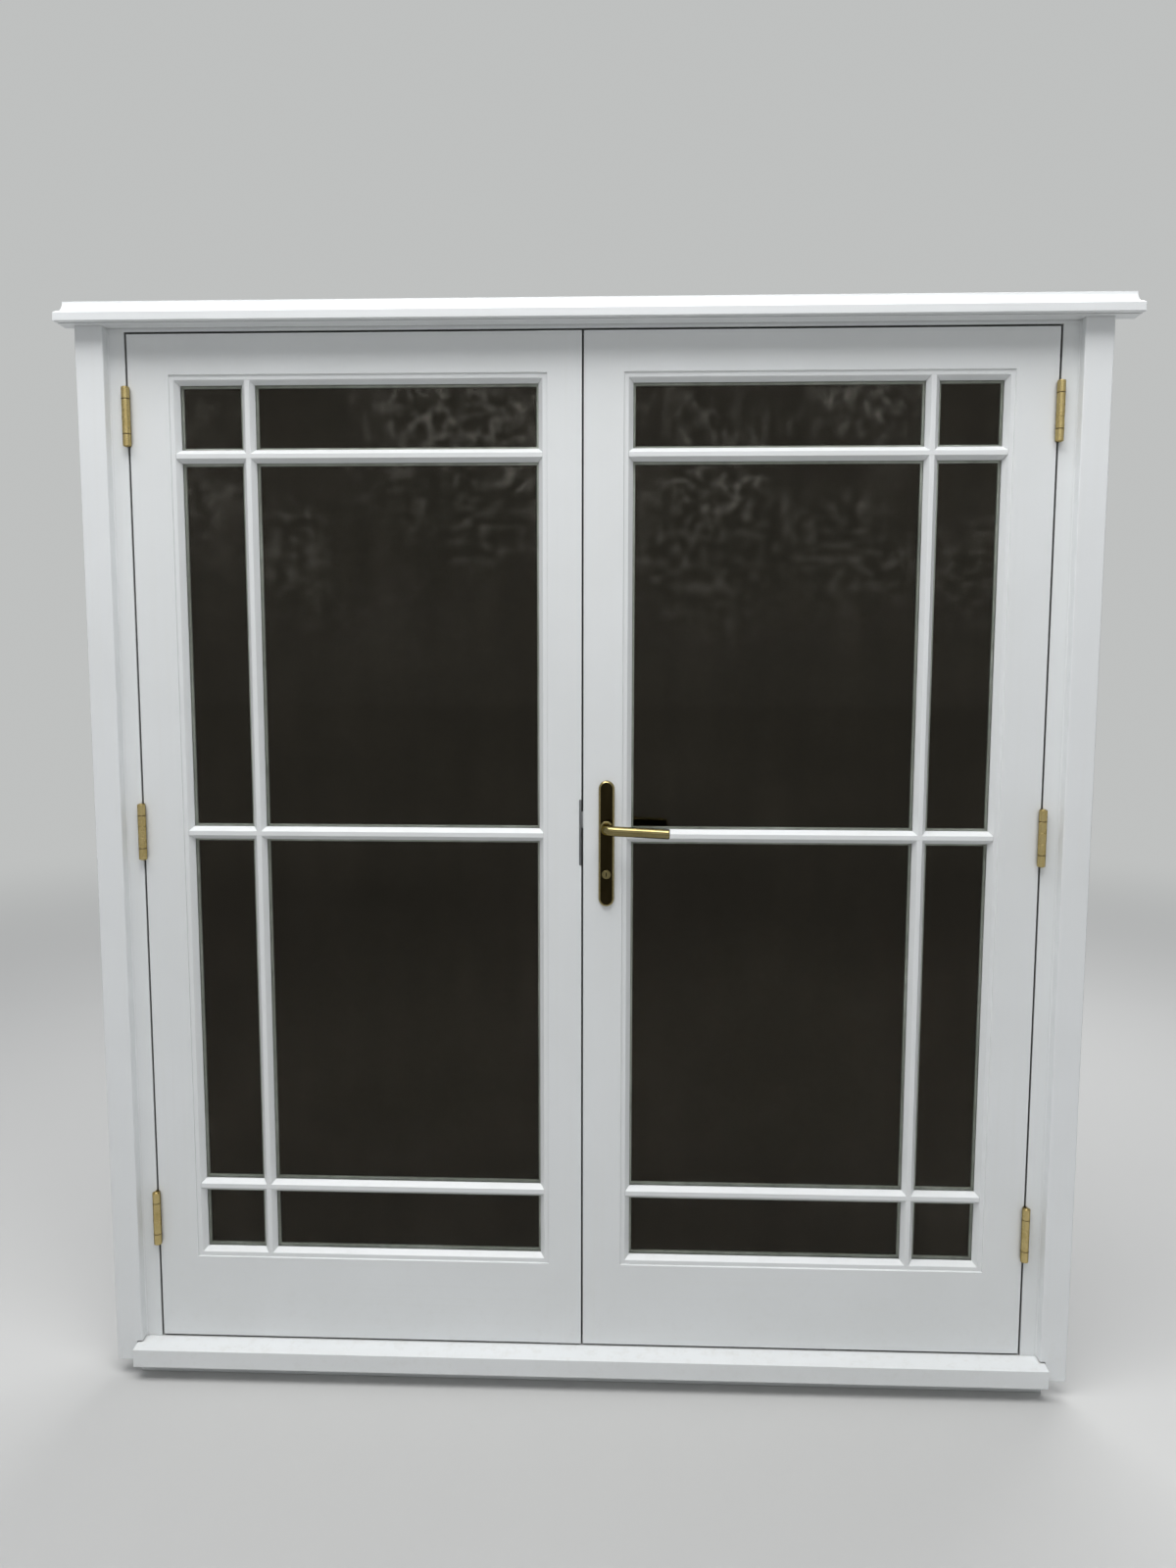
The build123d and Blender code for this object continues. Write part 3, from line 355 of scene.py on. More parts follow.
@dataclass(frozen=True)
class SatinPaint(Finish):
    """Brushed satin paint over planed timber."""

    grain: Grain
    roughness: float = 0.36
    ior: float = 1.48
    gap_reach: float = 10.0 * MM
    clouds: Stain = Stain((0.35, 0.65), (0.0, 1.0), (0.955, 0.955, 0.95))
    fibre_lines: Stain = Stain((0.5, 0.78), (0.0, 0.55), (0.965, 0.96, 0.945))
    # painted shade: darkens the paint a little in corners, read off ambient occlusion
    painted_corner_shade: Stain = Stain((0.30, 0.75), (0.12, 0.0), (0.60, 0.585, 0.55))
    # painted shade: turns narrow gaps nearly black, read off ambient occlusion
    painted_gap_shade: Stain = Stain((0.14, 0.42), (0.95, 0.0), (0.17, 0.16, 0.15))
    dirt: Colour = (0.70, 0.66, 0.58)
    ledge_dust: float = 0.16
    splash_dust: float = 0.14
    splash_height: float = 0.30

    def along(self, sheet: ShaderSheet, across: float, length: float) -> Any:
        """Object coordinates that run with the board.

        Args:
            sheet: The material's sheet.
            across: Features in a metre across the grain.
            length: Features in a metre along the grain.

        Returns:
            The socket of the coordinates.
        """
        if self.grain is Grain.UPRIGHT:
            return sheet.stretched(across, across, length)
        return sheet.stretched(length, across, across)

    def dust(self, sheet: ShaderSheet) -> Any:
        """Patchy dust on ledges and rain splash near the ground.

        Args:
            sheet: The material's sheet.

        Returns:
            The socket of the dust's share.
        """
        spots = sheet.ranged(sheet.noise(sheet.object_place, 46.0, 5.0, 0.7), 0.52, 0.72)
        ledge = sheet.ranged(sheet.upward(), 0.35, 0.95, 0.0, self.ledge_dust)
        height = sheet.axis_of(sheet.object_place, "Z")
        splash = sheet.ranged(height, 0.02, self.splash_height, self.splash_dust, 0.0)
        return sheet.maths("MULTIPLY", sheet.maths("ADD", ledge, splash), spots)

    def coat(self, sheet: ShaderSheet) -> None:
        """Lay brush marks, fibres, painted shade in the corners and gaps, and dust over the white.

        Args:
            sheet: The material's sheet.
        """
        brush = sheet.noise(self.along(sheet, 620.0, 7.0), 1.0, 3.0, 0.6)
        fibres = sheet.noise(self.along(sheet, 95.0, 1.6), 1.0, 4.0, 0.55)
        sag = sheet.noise(self.along(sheet, 9.0, 2.2), 1.0, 2.0, 0.5)
        stipple = sheet.noise(sheet.object_place, 1500.0, 1.0, 0.5)
        tone = sheet.noise(sheet.object_place, 2.6, 3.0, 0.55)
        open_sky = sheet.crevice(self.gap_reach)
        colour: Any = self.colour
        # the last two layers are painted shade in corners and gaps, read off ambient occlusion
        for stain, pattern in ((self.clouds, tone), (self.fibre_lines, fibres),
                               (self.painted_corner_shade, open_sky), (self.painted_gap_shade, open_sky)):
            colour = stain.over(sheet, pattern, colour, self.colour)
        dust = self.dust(sheet)
        colour = sheet.mixed(dust, colour, toned(self.colour, self.dirt))
        gloss = sheet.ranged(fibres, 0.3, 0.7, self.roughness - 0.05, self.roughness + 0.06)
        gloss = sheet.maths("ADD", gloss, sheet.maths("MULTIPLY", dust, 0.8))
        sheet.put(Base_Color=colour, Roughness=gloss, IOR=self.ior)
        sheet.relief((sag, 0.16, 0.80 * MM), (fibres, 0.22, 0.22 * MM),
                     (brush, 0.22, 0.10 * MM), (stipple, 0.10, 0.05 * MM))


@dataclass(frozen=True)
class PaneGlass(Finish):
    """Float glass with wiped film on it; the inner pane's near-black colour is painted shade for
    the unlit room behind.
    """

    waviness: float = 0.35 * MM
    ior: float = 1.22
    sheen: Colour = (1.0, 0.95, 0.86)
    film_gain: float = 1.35

    def coat(self, sheet: ShaderSheet) -> None:
        """Streak the glass with a thin film and let it roll a little.

        Args:
            sheet: The material's sheet.
        """
        film = sheet.noise(sheet.stretched(2.2, 2.2, 7.0), 1.0, 4.0, 0.6)
        wipe = sheet.noise(sheet.stretched(26.0, 26.0, 5.0), 1.0, 3.0, 0.5)
        roll = sheet.noise(sheet.stretched(1.3, 1.3, 3.1), 1.0, 1.0, 0.4)
        streak = sheet.maths("MULTIPLY", film, wipe)
        veil = tuple(min(1.0, c * self.film_gain) for c in self.colour)
        colour = sheet.mixed(sheet.ranged(streak, 0.18, 0.42, 0.0, 0.7), self.colour, veil)
        sheet.put(Base_Color=colour, Roughness=sheet.ranged(streak, 0.16, 0.45, 0.0, 0.045),
                  IOR=self.ior, Specular_Tint=self.sheen, Transmission_Weight=1.0)
        sheet.relief((roll, 0.5, self.waviness))


@dataclass(frozen=True)
class Brass(Finish):
    """Brass with hand polish marks, handling haze and tarnish in its corners."""

    roughness: float
    tarnish: float
    scratches: tuple[float, float, float]
    # dark edge tint: painted shade on turned sides at grazing angles, standing in for dark
    # surroundings reflected there
    edge: Colour = (0.30, 0.25, 0.17)
    dull: Stain = Stain((0.42, 0.70), (0.0, 0.75), (0.80, 0.76, 0.66))
    old_tone: Colour = (0.34, 0.29, 0.22)
    corner_reach: float = 4.0 * MM

    def coat(self, sheet: ShaderSheet) -> None:
        """Lay haze, tarnished corners and pits over the bright metal.

        Args:
            sheet: The material's sheet.
        """
        haze = sheet.noise(sheet.object_place, 42.0, 5.0, 0.65)
        scratch = sheet.noise(sheet.stretched(*self.scratches), 1.0, 2.0, 0.5)
        pit = sheet.noise(sheet.object_place, 900.0, 2.0, 0.5)
        old = toned(self.colour, self.old_tone)
        colour = self.dull.over(sheet, haze, self.colour, self.colour)
        corner = sheet.ranged(sheet.crevice(self.corner_reach), 0.2, 0.9, self.tarnish, 0.0)
        spots = sheet.ranged(pit, 0.66, 0.78, 0.0, self.tarnish * 0.6)
        for share in (corner, spots):
            colour = sheet.mixed(share, colour, old)
        gloss = sheet.ranged(haze, 0.3, 0.72, self.roughness * 0.75, self.roughness * 1.6)
        gloss = sheet.maths("ADD", gloss, sheet.maths("MULTIPLY", corner, 0.25))
        sheet.put(Base_Color=colour, Metallic=1.0, Specular_Tint=self.edge, Roughness=gloss)
        sheet.relief((scratch, 0.16, 0.06 * MM), (haze, 0.10, 0.25 * MM))


@dataclass(frozen=True)
class WorkedMetal(Finish):
    """Brushed, plated or cast grey metal."""

    roughness: float
    brushing: tuple[float, float, float]
    rust: float = 0.0
    metallic: float = 1.0
    grease: Stain = Stain((0.45, 0.72), (0.0, 0.6), (0.62, 0.62, 0.62))
    rust_colour: Colour = (0.20, 0.11, 0.06)

    def coat(self, sheet: ShaderSheet) -> None:
        """Lay grease and rust over the brushed metal.

        Args:
            sheet: The material's sheet.
        """
        brushed = sheet.noise(sheet.stretched(*self.brushing), 1.0, 3.0, 0.6)
        cloud = sheet.noise(sheet.object_place, 60.0, 4.0, 0.6)
        blotch = sheet.noise(sheet.object_place, 210.0, 5.0, 0.75)
        rusty = sheet.ranged(blotch, 0.60, 0.75, 0.0, self.rust)
        colour = self.grease.over(sheet, cloud, self.colour, self.colour)
        colour = sheet.mixed(rusty, colour, self.rust_colour)
        gloss = sheet.ranged(brushed, 0.3, 0.7, self.roughness * 0.8, self.roughness * 1.25)
        gloss = sheet.maths("ADD", gloss, sheet.maths("MULTIPLY", rusty, 0.35))
        sheet.put(Base_Color=colour, Metallic=self.metallic, Roughness=gloss)
        sheet.relief((brushed, 0.25, 0.05 * MM))


@dataclass(frozen=True)
class Rubber(Finish):
    """Extruded seal rubber with bloom and lint."""

    lint_colour: Colour = (0.30, 0.29, 0.27)

    def coat(self, sheet: ShaderSheet) -> None:
        """Lay pale bloom and lint over the rubber.

        Args:
            sheet: The material's sheet.
        """
        bloom = sheet.noise(sheet.object_place, 30.0, 4.0, 0.6)
        lint = sheet.noise(sheet.object_place, 1100.0, 2.0, 0.5)
        pale = tuple(c * 2.2 + 0.01 for c in self.colour)
        colour = sheet.mixed(sheet.ranged(bloom, 0.45, 0.75, 0.0, 0.6), self.colour, pale)
        colour = sheet.mixed(sheet.ranged(lint, 0.70, 0.80, 0.0, 0.4), colour, self.lint_colour)
        sheet.put(Base_Color=colour, Roughness=sheet.ranged(bloom, 0.3, 0.7, 0.55, 0.75))
        sheet.relief((lint, 0.2, 0.08 * MM))


class FinishBook:
    """Makes each finish once and hands out its material."""

    timber_white: Colour = (0.79, 0.808, 0.812)
    trim_white: Colour = (0.81, 0.828, 0.836)
    lever_marks = (1500.0, 1500.0, 60.0)
    plate_marks = (60.0, 1500.0, 1500.0)
    hinge_marks = (900.0, 900.0, 2200.0)
    drawn_marks = (1400.0, 1400.0, 30.0)

    def __init__(self) -> None:
        """List the finishes that the doors use."""
        listed = [SatinPaint(f"{use}_{grain.value}", white, grain)
                  for use, white in (("leaf_paint", self.timber_white),
                                     ("trim_paint", self.trim_white)) for grain in Grain]
        listed += [
            PaneGlass("pane_glass", (0.76, 0.76, 0.73)),
            # near-black inner pane: painted shade for the unlit room behind the glass
            PaneGlass("inner_pane_glass", (0.012, 0.009, 0.005)),
            Brass("polished_brass", (0.25, 0.208, 0.098), 0.11, 0.75, self.lever_marks),
            # plate face and rim: one brass in a near-black copy for the flat face, a painted dark
            # reflection, and a brighter copy for the rim
            Brass("plate_brass", (0.024, 0.018, 0.008), 0.08, 0.8, self.plate_marks),
            Brass("rim_brass", (0.36, 0.30, 0.15), 0.18, 0.8, self.plate_marks),
            Brass("hinge_brass", (0.57, 0.455, 0.21), 0.22, 0.85, self.hinge_marks),
            Brass("washer_brass", (0.13, 0.10, 0.05), 0.30, 0.9, self.hinge_marks),
            WorkedMetal("lock_steel", (0.46, 0.47, 0.48), 0.32, self.drawn_marks),
            WorkedMetal("lip_steel", (0.19, 0.195, 0.20), 0.34, self.drawn_marks),
            WorkedMetal("case_steel", (0.36, 0.37, 0.38), 0.42, (300.0, 300.0, 300.0), 0.5),
            WorkedMetal("spacer_metal", (0.56, 0.60, 0.56), 0.5, (500.0, 500.0, 500.0),
                        metallic=0.35),
            # near-black discs: painted shade inside the spacer's breather holes
            Rubber("spacer_holes", (0.03, 0.03, 0.03)),
            Rubber("seal_rubber", (0.028, 0.028, 0.030)),
        ]
        self.finishes = {finish.name: finish for finish in listed}
        self.made: dict[str, bpy.types.Material] = {}

    def get(self, name: str) -> bpy.types.Material:
        """Hand out a finish by name.

        Args:
            name: Name of the finish.

        Returns:
            Its material, made on first use.
        """
        if name not in self.made:
            self.made[name] = self.finishes[name].make()
        return self.made[name]


class GeometrySheet(NodeSheet):
    """A Geometry Nodes tree with named inputs."""

    def __init__(self, name: str, **inputs: str) -> None:
        """Start a tree that takes and gives a geometry.

        Args:
            name: Name of the node group.
            inputs: Inputs that a modifier can set, with their kinds.
        """
        super().__init__(bpy.data.node_groups.new(name, "GeometryNodeTree"))
        self.sockets: dict[str, str] = {}
        self.new_socket("Geometry", "OUTPUT", "Geometry")
        for key, kind in {"Geometry": "Geometry", **inputs}.items():
            self.sockets[key] = self.new_socket(key, "INPUT", kind)
        self.inputs = self.add("NodeGroupInput")
        self.output = self.add("NodeGroupOutput")

    def new_socket(self, name: str, way: str, kind: str) -> str:
        """Add a socket to the tree's own sides.

        Args:
            name: Its name.
            way: INPUT or OUTPUT.
            kind: What it carries.

        Returns:
            Its identifier, by which a modifier sets it.
        """
        item = self.tree.interface.new_socket(name=name, in_out=way,
                                              socket_type="NodeSocket" + kind)
        return item.identifier

    def given(self, name: str) -> Any:
        """The socket of a named input."""
        return self.inputs.outputs[name]

    def attribute(self, name: str, kind: str = "FLOAT_VECTOR") -> Any:
        """Value of a named attribute."""
        node = self.add("GeometryNodeInputNamedAttribute", {"Name": name}, data_type=kind)
        return node.outputs["Attribute"]

    def finish(self, geometry: Any) -> None:
        """End the tree with Realize Instances and Set Material.

        Args:
            geometry: Socket of the geometry.
        """
        real = self.add("GeometryNodeRealizeInstances", {"Geometry": geometry})
        dressed = self.add("GeometryNodeSetMaterial",
                           {"Geometry": real.outputs[0], "Material": self.given("Finish")})
        self.feed(self.output.inputs[0], dressed.outputs[0])


@dataclass(frozen=True)
class Place:
    """Where one copy of a repeated part goes."""

    at: Vector
    facing: Vector
    side: Vector
    stretch: Vector = Vector((1.0, 1.0, 1.0))


class Repeater:
    """Geometry Nodes trees for what repeats or follows a line."""

    def __init__(self) -> None:
        """Build the trees once."""
        self.copies = self.copies_tree()
        self.sweep = self.sweep_tree()
        self.panes = self.panes_tree()

    @staticmethod
    def copies_tree() -> GeometrySheet:
        """Tree that puts a part at each point, turned and stretched as its attributes say."""
        sheet = GeometrySheet("placed_copies", Part="Object", Size="Float", Finish="Material")
        points = sheet.add("GeometryNodeMeshToPoints", {"Mesh": sheet.given("Geometry")})
        part = sheet.add("GeometryNodeObjectInfo", {"Object": sheet.given("Part")})
        aligned = sheet.add("FunctionNodeAlignRotationToVector",
                            {"Vector": sheet.attribute("facing")}, axis="Z")
        turned = sheet.add("FunctionNodeAlignRotationToVector",
                           {"Rotation": aligned.outputs[0], "Vector": sheet.attribute("side")},
                           axis="X", pivot_axis="Z")
        stretch = sheet.add("ShaderNodeVectorMath",
                            {0: sheet.attribute("stretch"), "Scale": sheet.given("Size")},
                            operation="SCALE")
        placed = sheet.add("GeometryNodeInstanceOnPoints",
                           {"Points": points.outputs[0], "Instance": part.outputs["Geometry"],
                            "Rotation": turned.outputs[0], "Scale": stretch.outputs[0]})
        sheet.finish(placed.outputs[0])
        return sheet

    @staticmethod
    def sweep_tree() -> GeometrySheet:
        """Tree that runs a round section along a line, with its radius at each point."""
        sheet = GeometrySheet("round_sweep", Sides="Int", Finish="Material")
        line = sheet.add("GeometryNodeMeshToCurve", {"Mesh": sheet.given("Geometry")})
        ring = sheet.add("GeometryNodeCurvePrimitiveCircle",
                         {"Resolution": sheet.given("Sides"), "Radius": 1.0}, mode="RADIUS")
        tube = sheet.add("GeometryNodeCurveToMesh",
                         {"Curve": line.outputs[0], "Profile Curve": ring.outputs[0],
                          "Scale": sheet.attribute("radius", "FLOAT"), "Fill Caps": True})
        sheet.finish(tube.outputs[0])
        return sheet

    @staticmethod
    def panes_tree() -> GeometrySheet:
        """Tree that makes a slab of glass at each point, bowed by its unit's pressure."""
        sheet = GeometrySheet("bowed_panes", Columns="Int", Rows="Int", Finish="Material")
        slab = sheet.add("GeometryNodeMeshCube",
                         {"Size": (1.0, 1.0, 1.0), "Vertices X": sheet.given("Columns"),
                          "Vertices Y": 2, "Vertices Z": sheet.given("Rows")})
        place = sheet.add("GeometryNodeInputPosition")
        kept = sheet.add("GeometryNodeStoreNamedAttribute",
                         {"Geometry": slab.outputs["Mesh"], "Name": "unit",
                          "Value": place.outputs[0]},
                         data_type="FLOAT_VECTOR", domain="POINT")
        points = sheet.add("GeometryNodeMeshToPoints", {"Mesh": sheet.given("Geometry")})
        placed = sheet.add("GeometryNodeInstanceOnPoints",
                           {"Points": points.outputs[0], "Instance": kept.outputs[0],
                            "Scale": sheet.attribute("stretch")})
        real = sheet.add("GeometryNodeRealizeInstances", {"Geometry": placed.outputs[0]})
        falls = []
        for axis in ("X", "Z"):
            unit = sheet.axis_of(sheet.attribute("unit"), axis)
            square = sheet.maths("MULTIPLY", unit, unit)
            falls.append(sheet.maths("MULTIPLY_ADD", square, -4.0, 1.0))
        bow = sheet.maths("MULTIPLY", sheet.maths("MULTIPLY", *falls),
                          sheet.attribute("bow", "FLOAT"))
        shift = sheet.add("ShaderNodeCombineXYZ", {"Y": bow})
        bowed = sheet.add("GeometryNodeSetPosition",
                          {"Geometry": real.outputs[0], "Offset": shift.outputs[0]})
        sheet.finish(bowed.outputs[0])
        return sheet

    @staticmethod
    def apply(sheet: GeometrySheet, source: bpy.types.Object, name: str,
              **values: Any) -> bpy.types.Object:
        """Run a tree on an object and keep its result as a plain mesh.

        Args:
            sheet: The tree.
            source: Object that carries the points or the line.
            name: Name of the piece.
            values: Named inputs and what they are set to.

        Returns:
            The finished piece, at the origin and without a modifier.
        """
        modifier = source.modifiers.new("nodes", "NODES")
        modifier.node_group = sheet.tree
        for key, value in values.items():
            modifier[sheet.sockets[key]] = value
        mesh = plain_mesh(source, name)
        bpy.data.objects.remove(source)
        return shown(name, mesh)

    def scatter(self, name: str, part: bpy.types.Object, places: Sequence[Place],
                finish: bpy.types.Material) -> bpy.types.Object:
        """One mesh that holds a copy of a part at each place.

        Args:
            name: Name of the piece.
            part: The part, with its foot at the origin and its axis along Z.
            places: Where the copies go.
            finish: Their material.

        Returns:
            The piece.
        """
        source = point_carrier(name, [p.at for p in places], facing=[p.facing for p in places],
                               side=[p.side for p in places],
                               stretch=[p.stretch for p in places])
        return self.apply(self.copies, source, name, Part=part, Size=1.0, Finish=finish)

    def tube(self, name: str, line: Sequence[tuple[Vector, float]], sides: int,
             finish: bpy.types.Material) -> bpy.types.Object:
        """A closed round bar along a line of points with radii.

        Args:
            name: Name of the piece.
            line: Points and the radius at each.
            sides: Sides of the section.
            finish: Its material.

        Returns:
            The piece.
        """
        source = point_carrier(name, [point for point, _ in line], joined=True,
                               radius=[radius for _, radius in line])
        return self.apply(self.sweep, source, name, Sides=sides, Finish=finish)


def shown(name: str, mesh: bpy.types.Mesh) -> bpy.types.Object:
    """Link a mesh to the scene as an object at the origin."""
    piece = bpy.data.objects.new(name, mesh)
    bpy.context.scene.collection.objects.link(piece)
    return piece


def point_carrier(name: str, points: Sequence[Vector], joined: bool = False,
                  **attributes: Sequence[Any]) -> bpy.types.Object:
    """Object that carries points and their attributes into a tree.

    Args:
        name: Name of the piece that it is for.
        points: The points.
        joined: Whether they are joined in a line.
        attributes: A number or vector for each point.

    Returns:
        The object.
    """
    mesh = bpy.data.meshes.new(name + "_points")
    edges = [(i, i + 1) for i in range(len(points) - 1)] if joined else []
    mesh.from_pydata(points, edges, [])
    for key, values in attributes.items():
        if isinstance(values[0], Vector):
            flat = [number for value in values for number in value]
            mesh.attributes.new(key, "FLOAT_VECTOR", "POINT").data.foreach_set("vector", flat)
        else:
            mesh.attributes.new(key, "FLOAT", "POINT").data.foreach_set("value", values)
    return shown(name + "_source", mesh)


def plain_mesh(piece: bpy.types.Object, name: str) -> bpy.types.Mesh:
    """The mesh that a piece has once its modifiers have run.

    Args:
        piece: The piece.
        name: Name of the mesh.

    Returns:
        The mesh.
    """
    depsgraph = bpy.context.evaluated_depsgraph_get()
    mesh = bpy.data.meshes.new_from_object(piece.evaluated_get(depsgraph), depsgraph=depsgraph)
    mesh.name = name
    return mesh


def settle(piece: bpy.types.Object) -> None:
    """Make a piece's modifiers part of its mesh."""
    mesh = plain_mesh(piece, piece.name)
    piece.modifiers.clear()
    piece.data = mesh


def ease_edges(piece: bpy.types.Object, width: float, steps: int = 2, limit: str = "ANGLE",
               harden: bool = True) -> None:
    """Round a piece's edges.

    Args:
        piece: The piece.
        width: Width of the rounding.
        steps: Its segments.
        limit: Which edges it takes, by ANGLE or by WEIGHT.
        harden: Whether the flat faces keep their normals.
    """
    bevel = piece.modifiers.new("ease", "BEVEL")
    bevel.width = width
    bevel.segments = steps
    bevel.limit_method = limit
    bevel.harden_normals = harden
    settle(piece)


@contextmanager
def edited(mesh: bpy.types.Mesh) -> Iterator[bmesh.types.BMesh]:
    """Open a mesh for editing and write it back at the end.

    Args:
        mesh: The mesh.

    Yields:
        Its editable shape.
    """
    shape = bmesh.new()
    shape.from_mesh(mesh)
    yield shape
    shape.to_mesh(mesh)
    shape.free()


def smooth(mesh: bpy.types.Mesh, crease: float) -> None:
    """Shade smooth across the edges under an angle."""
    mesh.shade_smooth()
    mesh.set_sharp_from_angle(angle=math.radians(crease))


def tidy_mesh(mesh: bpy.types.Mesh, crease: float = CREASE) -> None:
    """Merge doubles, point the faces outwards and smooth across small angles.

    Args:
        mesh: The mesh.
        crease: Angle in degrees over which an edge stays sharp.
    """
    with edited(mesh) as shape:
        bmesh.ops.remove_doubles(shape, verts=shape.verts, dist=MERGE_DISTANCE)
        bmesh.ops.recalc_face_normals(shape, faces=shape.faces)
    smooth(mesh, crease)


def clear_slivers(mesh: bpy.types.Mesh) -> None:
    """Collapse faces and edges of no size."""
    with edited(mesh) as shape:
        bmesh.ops.dissolve_degenerate(shape, dist=SLIVER, edges=shape.edges)


def linked_vertices(first: bmesh.types.BMVert, seen: set[int]) -> list[bmesh.types.BMVert]:
    """Vertices of the solid that a vertex belongs to.

    Args:
        first: The vertex.
        seen: Indices of the vertices met so far, which grows.

    Returns:
        All vertices that edges join to it, itself among them.
    """
    seen.add(first.index)
    found = [first]
    for vertex in found:
        for edge in vertex.link_edges:
            other = edge.other_vert(vertex)
            if other.index not in seen:
                seen.add(other.index)
                found.append(other)
    return found


def loose_parts(node: bpy.types.Object) -> list[Box]:
    """Boxes of the separate solids in a CAD node.

    Args:
        node: The node's object.

    Returns:
        Lowest and highest corner of each solid, in a fixed order.
    """
    shape = bmesh.new()
    shape.from_mesh(node.data)
    bmesh.ops.remove_doubles(shape, verts=shape.verts, dist=MERGE_DISTANCE)
    shape.verts.ensure_lookup_table()
    seen: set[int] = set()
    boxes = []
    for first in shape.verts:
        if first.index in seen:
            continue
        corners = list(zip(*(vertex.co for vertex in linked_vertices(first, seen))))
        boxes.append((Vector(map(min, corners)), Vector(map(max, corners))))
    shape.free()
    return sorted(boxes, key=lambda box: tuple(round(c, 5) for c in (*box[0], *box[1])))


def frame_sides(low: Vector, high: Vector) -> list[tuple[int, int, float, float]]:
    """The four sides of an upright rectangular frame.

    Args:
        low: Lowest corner of the frame.
        high: Highest corner of the frame.

    Returns:
        For each side the axis it runs along, the axis across it, its outer edge on that
        axis, and the sign of the way inwards.
    """
    return [(2, 0, low.x, 1.0), (2, 0, high.x, -1.0), (0, 2, low.z, 1.0), (0, 2, high.z, -1.0)]


def turns(sides: int) -> list[float]:
    """Equal angles round a circle."""
    return [math.tau * i / sides for i in range(sides)]


def radians(*degrees: float) -> list[float]:
    """Angles in radians."""
    return [math.radians(d) for d in degrees]


def round_arc(middle: Point, radius: float, start: float, end: float, steps: int) -> list[Point]:
    """Points on an arc.

    Args:
        middle: Its middle.
        radius: Its radius.
        start: First angle in degrees.
        end: Last angle in degrees.
        steps: Chords between them.

    Returns:
        The points.
    """
    angles = radians(*(start + (end - start) * i / steps for i in range(steps + 1)))
    return [(middle[0] + radius * math.cos(a), middle[1] + radius * math.sin(a))
            for a in angles]


def anticlockwise(outline: Sequence[Point]) -> list[Point]:
    """An outline in anticlockwise order, whichever way it came."""
    area = sum(a[0] * b[1] - b[0] * a[1] for a, b in zip(outline, [*outline[1:], outline[0]]))
    return list(outline) if area > 0 else list(reversed(outline))


def join_rings(shape: bmesh.types.BMesh, rings: Sequence[Sequence[bmesh.types.BMVert]]) -> None:
    """Skin a stack of equal rings and close both ends.

    Args:
        shape: Shape that holds the rings.
        rings: Their vertices, from the first end to the last.
    """
    count = len(rings[0])
    for lower, upper in zip(rings, rings[1:]):
        for i in range(count):
            j = (i + 1) % count
            shape.faces.new((lower[i], lower[j], upper[j], upper[i]))
    shape.faces.new(list(reversed(rings[0])))
    shape.faces.new(rings[-1])


def part_from(name: str, shape: bmesh.types.BMesh, crease: float = CREASE) -> bpy.types.Object:
    """Turn a shape into an object with tidy normals.

    Args:
        name: Name of the part.
        shape: The shape, which is freed.
        crease: Angle in degrees over which an edge stays sharp.

    Returns:
        The part.
    """
    mesh = bpy.data.meshes.new(name)
    shape.to_mesh(mesh)
    shape.free()
    tidy_mesh(mesh, crease)
    return shown(name, mesh)


def stacked(name: str, rings: Iterable[Sequence[Sequence[float]]],
            crease: float = CREASE) -> bpy.types.Object:
    """Solid between a stack of equal rings of points.

    Args:
        name: Name of the part.
        rings: The rings' points, from the foot to the top.
        crease: Angle in degrees over which an edge stays sharp.

    Returns:
        The part.
    """
    shape = bmesh.new()
    join_rings(shape, [[shape.verts.new(point) for point in ring] for ring in rings])
    return part_from(name, shape, crease)


def lathe(name: str, outline: Sequence[Point], sides: int) -> bpy.types.Object:
    """Turned part about Z, closed at both ends.

    Args:
        name: Name of the part.
        outline: Radius and height of its points, from the foot to the top.
        sides: Sides of the turning.

    Returns:
        The part.
    """
    return stacked(name, [[(radius * math.cos(a), radius * math.sin(a), height)
                           for a in turns(sides)] for radius, height in outline])


def prism(name: str, outline: Sequence[Point], length: float,
          crease: float = CREASE) -> bpy.types.Object:
    """Part with a constant section in X and Y, from Z 0 to a length.

    Args:
        name: Name of the part.
        outline: Section points, in either order.
        length: Its length along Z.
        crease: Angle in degrees over which an edge stays sharp.

    Returns:
        The part.
    """
    section = anticlockwise(outline)
    return stacked(name, [[(x, y, z) for x, y in section] for z in (0.0, length)], crease)


def mitred_strips(name: str, boxes: Sequence[Box], section: Sequence[Point],
                  ease: float) -> bpy.types.Object:
    """Four strips round each upright rectangle, each closed and mitred at its ends.

    Args:
        name: Name of the piece.
        boxes: Outer corners of the rectangles.
        section: Points of the strip's section, as inset from the outer edge and depth in Y.
        ease: Rounding of the strips' arrises.

    Returns:
        The piece.
    """
    shape = bmesh.new()
    for low, high in boxes:
        rings = [[shape.verts.new((x, depth, z)) for x, z in (
            (low.x + inset, low.z + inset), (high.x - inset, low.z + inset),
            (high.x - inset, high.z - inset), (low.x + inset, high.z - inset))]
            for inset, depth in section]
        copies = [[shape.verts.new(vertex.co) for vertex in ring] for ring in rings]
        for side in range(4):
            join_rings(shape, [[ring[side] for ring in rings],
                               [ring[(side + 1) % 4] for ring in copies]])
    bmesh.ops.recalc_face_normals(shape, faces=shape.faces)
    mesh = bpy.data.meshes.new(name)
    shape.to_mesh(mesh)
    shape.free()
    smooth(mesh, CREASE)
    piece = shown(name, mesh)
    ease_edges(piece, ease)
    return piece


